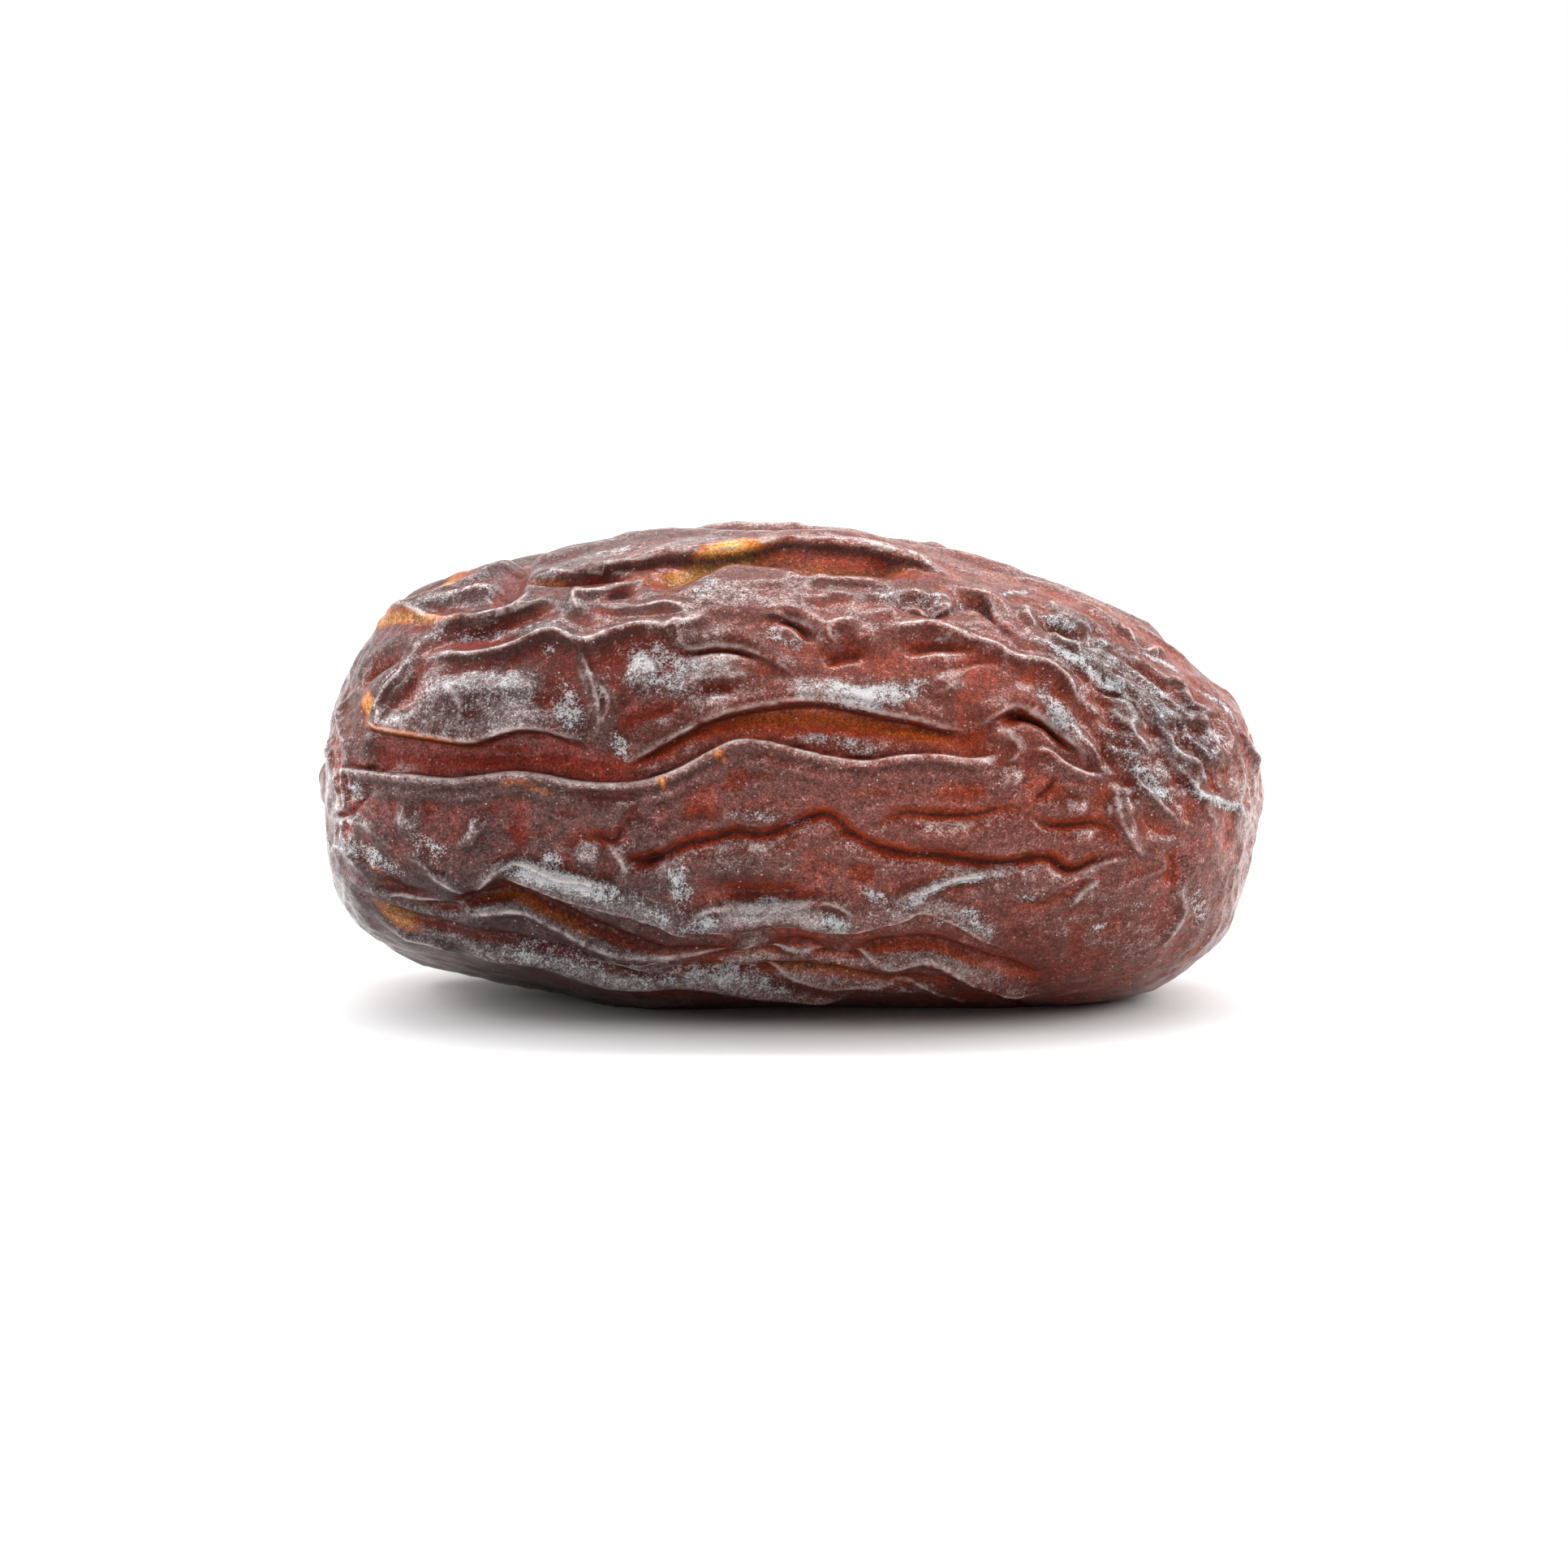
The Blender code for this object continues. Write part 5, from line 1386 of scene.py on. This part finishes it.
class NodeTree:
    """A material's or the world's nodes, made one call at a time."""

    def __init__(self, owner: bpy.types.Material | bpy.types.World) -> None:
        """Starts a new material's or world's nodes with none.

        Args:
            owner: the material or world.
        """
        self.owner = owner
        owner.use_nodes = True
        self.nodes, self.links = owner.node_tree.nodes, owner.node_tree.links
        self.nodes.clear()

    def node(self, kind: str, settings: dict[str, Any] | None = None,
             sockets: dict[Any, Any] | None = None, output: int | str = 0) -> Wire:
        """A node of a kind.

        Args:
            kind: the node's type.
            settings: its own settings, set first.
            sockets: what goes into its inputs, by name or number: a Wire, or a plain value.
            output: the output that is wanted.

        Returns:
            That output.
        """
        made = self.nodes.new(kind)
        for name, value in (settings or {}).items():
            setattr(made, name, value)
        for name, value in (sockets or {}).items():
            socket = made.inputs[name]
            if isinstance(value, Wire):
                self.links.new(value.socket, socket)
            else:
                socket.default_value = value
        return Wire(self, made.outputs[output])

    def mix(self, share: Any, first: Any, second: Any) -> Wire:
        """The first colour where share is 0, the second where it is 1, and their blend between."""
        sockets = {0: share, 6: first, 7: second}
        return self.node("ShaderNodeMix", {"data_type": "RGBA", "clamp_factor": True}, sockets, 2)

    def scaled(self, colour: Wire, share: Wire) -> Wire:
        """A colour made lighter or darker, by what it is multiplied with."""
        settings = {"data_type": "RGBA", "blend_type": "MULTIPLY", "clamp_result": True}
        return self.node("ShaderNodeMix", settings, {0: 1.0, 6: colour, 7: share}, 2)

    def mark(self, name: str) -> Wire:
        """The strength of one of the mesh's marks."""
        return self.node("ShaderNodeAttribute", {"attribute_name": name}, output="Fac")

    def noise(self, place: Wire, size: float, detail: float = 3.0, roughness: float = 0.55) -> Wire:
        """Noise with blotches of a size in mm."""
        sockets = {"Vector": place, "Scale": 1 / (size * METRES), "Detail": detail, "Roughness": roughness}
        return self.node("ShaderNodeTexNoise", {}, sockets)

    def shader(self, sockets: dict[str, Any], normal: Wire) -> bpy.types.Material:
        """Finishes the material with a Principled shader.

        Args:
            sockets: what goes into the shader's inputs.
            normal: the surface's bumps.

        Returns:
            The material.
        """
        surface = self.node("ShaderNodeBsdfPrincipled", {}, {**sockets, "Normal": normal})
        out = self.nodes.new("ShaderNodeOutputMaterial")
        self.links.new(surface.socket, out.inputs["Surface"])
        return self.owner

    def world_out(self, strength: Wire) -> None:
        """Finishes the world with white light.

        Args:
            strength: how strong the light is.
        """
        light = self.node("ShaderNodeBackground", {}, {"Color": (1.0, 1.0, 1.0, 1.0), "Strength": strength})
        out = self.nodes.new("ShaderNodeOutputWorld")
        self.links.new(light.socket, out.inputs["Surface"])


@dataclass(frozen=True)
class SkinFinish:
    """Dried date skin: glossy wine brown with painted glow in its channels, with grey haze and painted sheen
    on its pillows, and dusted with sugar.

    Attributes:
        deep_red_and_glow_left: the red of sunken skin near the stem end, with a painted glow of light
            through it.
        deep_red_and_glow_right: the same near the tip, where the glow is painted stronger.
        brown_left: the colour of bare skin near the stem end.
        brown_right: the same near the tip.
        haze_and_sheen_left: the colour of the thin grey haze, with its painted sheen, near the stem end.
        haze_and_sheen_right: the same near the tip.
        haze_and_sheen_ends: the same where the skin is crumpled.
        sugar: the colour of thick bloom.
        amber_glow: the colour of the painted glow of thin skin that light comes through.
        gold: the colour of the painted glow of the thinnest skin.
        edge: the colour of the painted highlight along a rim.
        shade: the colour of the painted shade in folds and beside rims.
        crystal: the colour of single sugar crystals.
        crystal_size: how far apart the crystals are, in mm.
        translucency: how much of the light goes through the skin.
        light_depth: how far it goes, in metres.
    """

    deep_red_and_glow_left: Colour = (0.240, 0.025, 0.011, 1.0)
    deep_red_and_glow_right: Colour = (0.400, 0.052, 0.015, 1.0)
    brown_left: Colour = (0.066, 0.017, 0.012, 1.0)
    brown_right: Colour = (0.155, 0.030, 0.017, 1.0)
    haze_and_sheen_left: Colour = (0.30, 0.255, 0.255, 1.0)
    haze_and_sheen_right: Colour = (0.33, 0.25, 0.235, 1.0)
    haze_and_sheen_ends: Colour = (0.30, 0.285, 0.29, 1.0)
    sugar: Colour = (0.80, 0.80, 0.83, 1.0)
    amber_glow: Colour = (0.42, 0.095, 0.006, 1.0)
    gold: Colour = (0.60, 0.245, 0.04, 1.0)
    edge: Colour = (0.62, 0.53, 0.50, 1.0)
    shade: Colour = (0.030, 0.006, 0.004, 1.0)
    crystal: Colour = (0.80, 0.72, 0.65, 1.0)
    crystal_size: float = 0.34
    translucency: float = 0.15
    light_depth: float = 0.0006

    def material(self) -> bpy.types.Material:
        """Makes the skin's material.

        Returns:
            The material.
        """
        tree = NodeTree(bpy.data.materials.new("date_skin"))
        place = tree.node("ShaderNodeTexCoord", output="Object")
        blotch = tree.noise(place, 4.0, 4.0) - 0.5
        mottle = tree.noise(place, 1.1, 5.0, 0.6) - 0.5
        patchy = tree.noise(place, 0.5, 5.0, 0.62) - 0.5
        grain = tree.noise(place, 0.2, 4.0, 0.7) - 0.5
        dust = tree.noise(place, 0.09, 3.0, 0.7) - 0.5
        bloom, veil_and_sheen, amber_glow, crumple = (tree.mark(name) for name in PAINTED)
        ridge, level, tall = (tree.mark(name) for name in RELIEF)
        tilt = tree.mark("tilt")
        grit = patchy * 0.35 + grain * 0.9 + dust * 1.6
        # Relief for the painted light and shade: high on crests and slopes that face up, low in hollows
        relief = (ridge * 3.0 + level * 0.8 + tilt * 0.5).clamped(-1.3, 0.7)

        # Flesh with painted glow in its hollows, its haze with painted sheen, and the painted glow of thin
        # skin
        along = tree.node("ShaderNodeSeparateXYZ", {}, {0: place}, "X")
        rightward = (along + blotch * 0.012).rise(-0.014, 0.006)
        sunken = (mottle * 0.35 + patchy * 0.3 - tall - ridge * 0.6).rise(-0.12, 0.35)
        # Painted sheen: the haze rises on crests and on slopes that face up
        cover = veil_and_sheen * 0.55 + bloom * 0.3 + relief * 0.35 + tilt * 0.4 + tall * 0.15 - sunken * 0.3
        haze_and_sheen = (cover + crumple * 0.15 + mottle * 1.2 + patchy * 0.9 + grit * 0.8).rise(0.1, 1.1)
        colour = self.flesh(tree, rightward, sunken, haze_and_sheen, crumple)
        glow = (amber_glow * (1.05 + 0.4 * mottle + 0.3 * patchy)).clamped()
        glowing = tree.mix(glow.rise(0.6, 1.0), self.amber_glow, self.gold)
        colour = tree.mix(glow.rise(0.15, 0.75), colour, glowing)
        # Lighter and darker: random grain, painted light and shade from the relief, painted shade on the
        # underside, painted light on the crumpled stem end, and the crumpled shoulder darker
        up = tree.node("ShaderNodeSeparateXYZ", {}, {0: place}, "Z")
        # Painted shade: the lower half of the skin is darker, less so towards the tip
        underside_shade = (up + blotch * 0.008).rise(0.0103, 0.0062) * (1.2 - 0.7 * rightward)
        lift = crumple * (1.1 - 2.1 * rightward) - underside_shade
        colour = tree.scaled(colour, 2.0 ** (grit * 3.8 + relief * 1.3 + lift))
        # Bloom, painted shade and highlight lines, and crystals on top
        ragged = mottle * 1.7 + patchy * 1.2 + grit * 2.2 + tilt * 0.2
        powder = (bloom * 1.15 + ragged).rise(0.42, 1.1) * bloom.rise(0.03, 0.3)
        colour = tree.mix(powder * 0.72, colour, self.sugar)
        colour, line = self.paint_shade_and_highlights(tree, colour, mottle, patchy)
        crystals = self.crystals(tree, place) * mottle.rise(-0.15, 0.1)
        colour = tree.mix(crystals * 0.6, colour, self.crystal)

        height = mottle * 0.5 + patchy * 0.6 + grain * 0.5 + dust * (0.2 + 0.3 * powder) + powder * 0.15
        height = height + crystals * 0.4 + line * 0.5
        bump = tree.node("ShaderNodeBump", {}, {"Strength": 0.9, "Distance": 0.0002, "Height": height})
        sockets = {
            "Base Color": colour,
            "Roughness": 0.32 + 0.1 * haze_and_sheen + 0.3 * powder + 0.15 * grain,
            "Metallic": 0.0,
            "Coat Weight": (0.45 + relief * 0.5 + grit * 2.0 - 0.4 * powder).clamped(),
            "Coat Roughness": 0.17,
            "IOR": 1.25,
            "Subsurface Weight": self.translucency,
            "Subsurface Radius": (1.0, 0.25, 0.1),
            "Subsurface Scale": self.light_depth,
        }
        return tree.shader(sockets, bump)

    def flesh(self, tree: NodeTree, rightward: Wire, sunken: Wire, haze_and_sheen: Wire, crumple: Wire) -> Wire:
        """The colour of the skin under its grey haze and painted sheen, with a painted glow in its hollows.

        Args:
            tree: the material's nodes.
            rightward: how near the tip the place is.
            sunken: how deep it lies in a hollow.
            haze_and_sheen: how much haze and painted sheen lies on it.
            crumple: how crumpled it is.

        Returns:
            The colour.
        """
        bare = tree.mix(rightward, self.brown_left, self.brown_right)
        bare = tree.mix(sunken, bare, tree.mix(rightward, self.deep_red_and_glow_left, self.deep_red_and_glow_right))
        haze_and_sheen_colour = tree.mix(rightward, self.haze_and_sheen_left, self.haze_and_sheen_right)
        return tree.mix(haze_and_sheen * 0.9, bare, tree.mix(crumple * 1.3, haze_and_sheen_colour, self.haze_and_sheen_ends))

    def paint_shade_and_highlights(self, tree: NodeTree, colour: Wire, mottle: Wire, patchy: Wire) -> tuple[Wire, Wire]:
        """Paints shade in folds, and highlights along rims with shade painted beside them.

        Args:
            tree: the material's nodes.
            colour: the colour that they are drawn on.
            mottle: the noise that breaks up the painted highlights.
            patchy: a finer one.

        Returns:
            The new colour, and where the painted highlights are.
        """
        rim, rim_side, fold, fold_side = (tree.mark(name) for name in EDGE_MARKS)
        off_fold, off_rim = fold_side.magnitude(), rim_side.magnitude()
        # Painted shade in the folds
        colour = tree.mix(off_fold.rise(0.14, 0.02) * fold * 0.6, colour, self.shade)
        # Painted shade beside the rims
        rim_shade = off_rim.rise(0.09, 0.18) * off_rim.rise(0.42, 0.2) * rim
        colour = tree.mix(rim_shade * 0.4, colour, self.shade)
        # Painted highlight along the rims
        line = off_rim.rise(0.12, 0.02) * rim * (mottle * 3.0 + patchy * 3.0 + 0.55).clamped()
        return tree.mix(line * 0.7, colour, self.edge), line

    def crystals(self, tree: NodeTree, place: Wire) -> Wire:
        """Picks some of the cells of a fine net, and marks a dot in the middle of each.

        Args:
            tree: the material's nodes.
            place: the place on the skin.

        Returns:
            Where the dots are.
        """
        net = {"Vector": place, "Scale": 1 / (self.crystal_size * METRES)}
        dots = tree.node("ShaderNodeTexVoronoi", {}, net).rise(0.2, 0.1)
        cell = tree.node("ShaderNodeTexVoronoi", {}, net, "Color")
        return dots * tree.node("ShaderNodeSeparateColor", {}, {0: cell}).rise(0.4, 0.7)


@dataclass(frozen=True)
class TableFinish:
    """The matt white table that the date lies on."""

    colour: Colour = (0.86, 0.86, 0.86, 1.0)

    def material(self) -> bpy.types.Material:
        """Makes the table's material.

        Returns:
            The material.
        """
        tree = NodeTree(bpy.data.materials.new("white_table"))
        place = tree.node("ShaderNodeTexCoord", output="Object")
        bump = tree.node("ShaderNodeBump", {}, {"Strength": 0.02, "Height": tree.noise(place, 8.0)})
        return tree.shader({"Base Color": self.colour, "Roughness": 0.8, "Specular IOR Level": 0.0}, bump)


@dataclass(frozen=True)
class SoftBox:
    """A soft rectangular light.

    Attributes:
        name: the light's name.
        place: where it stands, in mm.
        size: its width and depth, in mm.
        power: its power in watts.
    """

    name: str
    place: tuple[float, float, float]
    size: tuple[float, float]
    power: float

    def stand(self, target: Vector) -> bpy.types.Object:
        """Makes the light and turns it to its target.

        Args:
            target: where it points, in mm.

        Returns:
            The light.
        """
        light = bpy.data.lights.new(self.name, "AREA")
        light.shape = "RECTANGLE"
        light.size, light.size_y = (side * METRES for side in self.size)
        light.energy = self.power
        lamp = bpy.data.objects.new(self.name, light)
        lamp.location = Vector(self.place) * METRES
        lamp.rotation_mode = "QUATERNION"
        lamp.rotation_quaternion = (Vector(self.place) - target).to_track_quat("Z", "Y")
        return lamp


@dataclass
class Studio:
    """The white table, the white room and the soft lights.

    Attributes:
        table_side: the table's side, in mm.
        front_light: the strength of the white room's light from the camera's side.
        back_light: its strength from behind the date.
        boxes: the soft lights.
    """

    table_side: float = 700.0
    front_light: float = 0.18
    back_light: float = 1.1
    boxes: tuple[SoftBox, ...] = (
        SoftBox("strip", (0.0, 150.0, 420.0), (1800.0, 170.0), 6.6),
        SoftBox("left", (-420.0, -40.0, 260.0), (300.0, 300.0), 1.5),
        SoftBox("right", (420.0, -40.0, 260.0), (300.0, 300.0), 1.5),
    )

    def build(self) -> bpy.types.Object:
        """Sets the lights and lays the table.

        Returns:
            The table.
        """
        scene = bpy.context.scene
        for box in self.boxes:
            scene.collection.objects.link(box.stand(Vector((0.0, 0.0, 10.0))))
        world = bpy.data.worlds.new("white_room")
        room = NodeTree(world)
        way = room.node("ShaderNodeTexCoord", output="Generated")
        behind = room.node("ShaderNodeSeparateXYZ", {}, {0: way}, "Y").rise(-0.7, 0.8)
        light = self.front_light + behind * (self.back_light - self.front_light)
        seen = room.node("ShaderNodeLightPath", output="Is Camera Ray")
        room.world_out(room.node("ShaderNodeMix", {}, {0: seen, 2: light, 3: 1.0}))
        scene.world = world
        scene.view_settings.view_transform = "Standard"
        sheet = bmesh.new()
        bmesh.ops.create_grid(sheet, x_segments=1, y_segments=1, size=self.table_side / 2 * METRES)
        mesh = bpy.data.meshes.new("table")
        sheet.to_mesh(mesh)
        sheet.free()
        mesh.materials.append(TableFinish().material())
        table = bpy.data.objects.new("table", mesh)
        scene.collection.objects.link(table)
        return table


def main() -> None:
    """Builds the date, its camera and its studio."""
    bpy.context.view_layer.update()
    scene = bpy.context.scene
    view = PhotoView()
    date = DateSkin(PlainForm(), view)
    skin = date.build()
    scene.collection.objects.link(skin)
    skin.data.materials.append(SkinFinish().material())
    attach(skin, "root")
    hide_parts(NODE)
    log.info("date_skin: %d vertices", len(skin.data.vertices))
    camera = view.camera()
    scene.collection.objects.link(camera)
    scene.camera = camera
    Studio().build()
    log.info("table and lights")


if __name__ == "__main__":
    logging.basicConfig(level=logging.INFO)
    main()
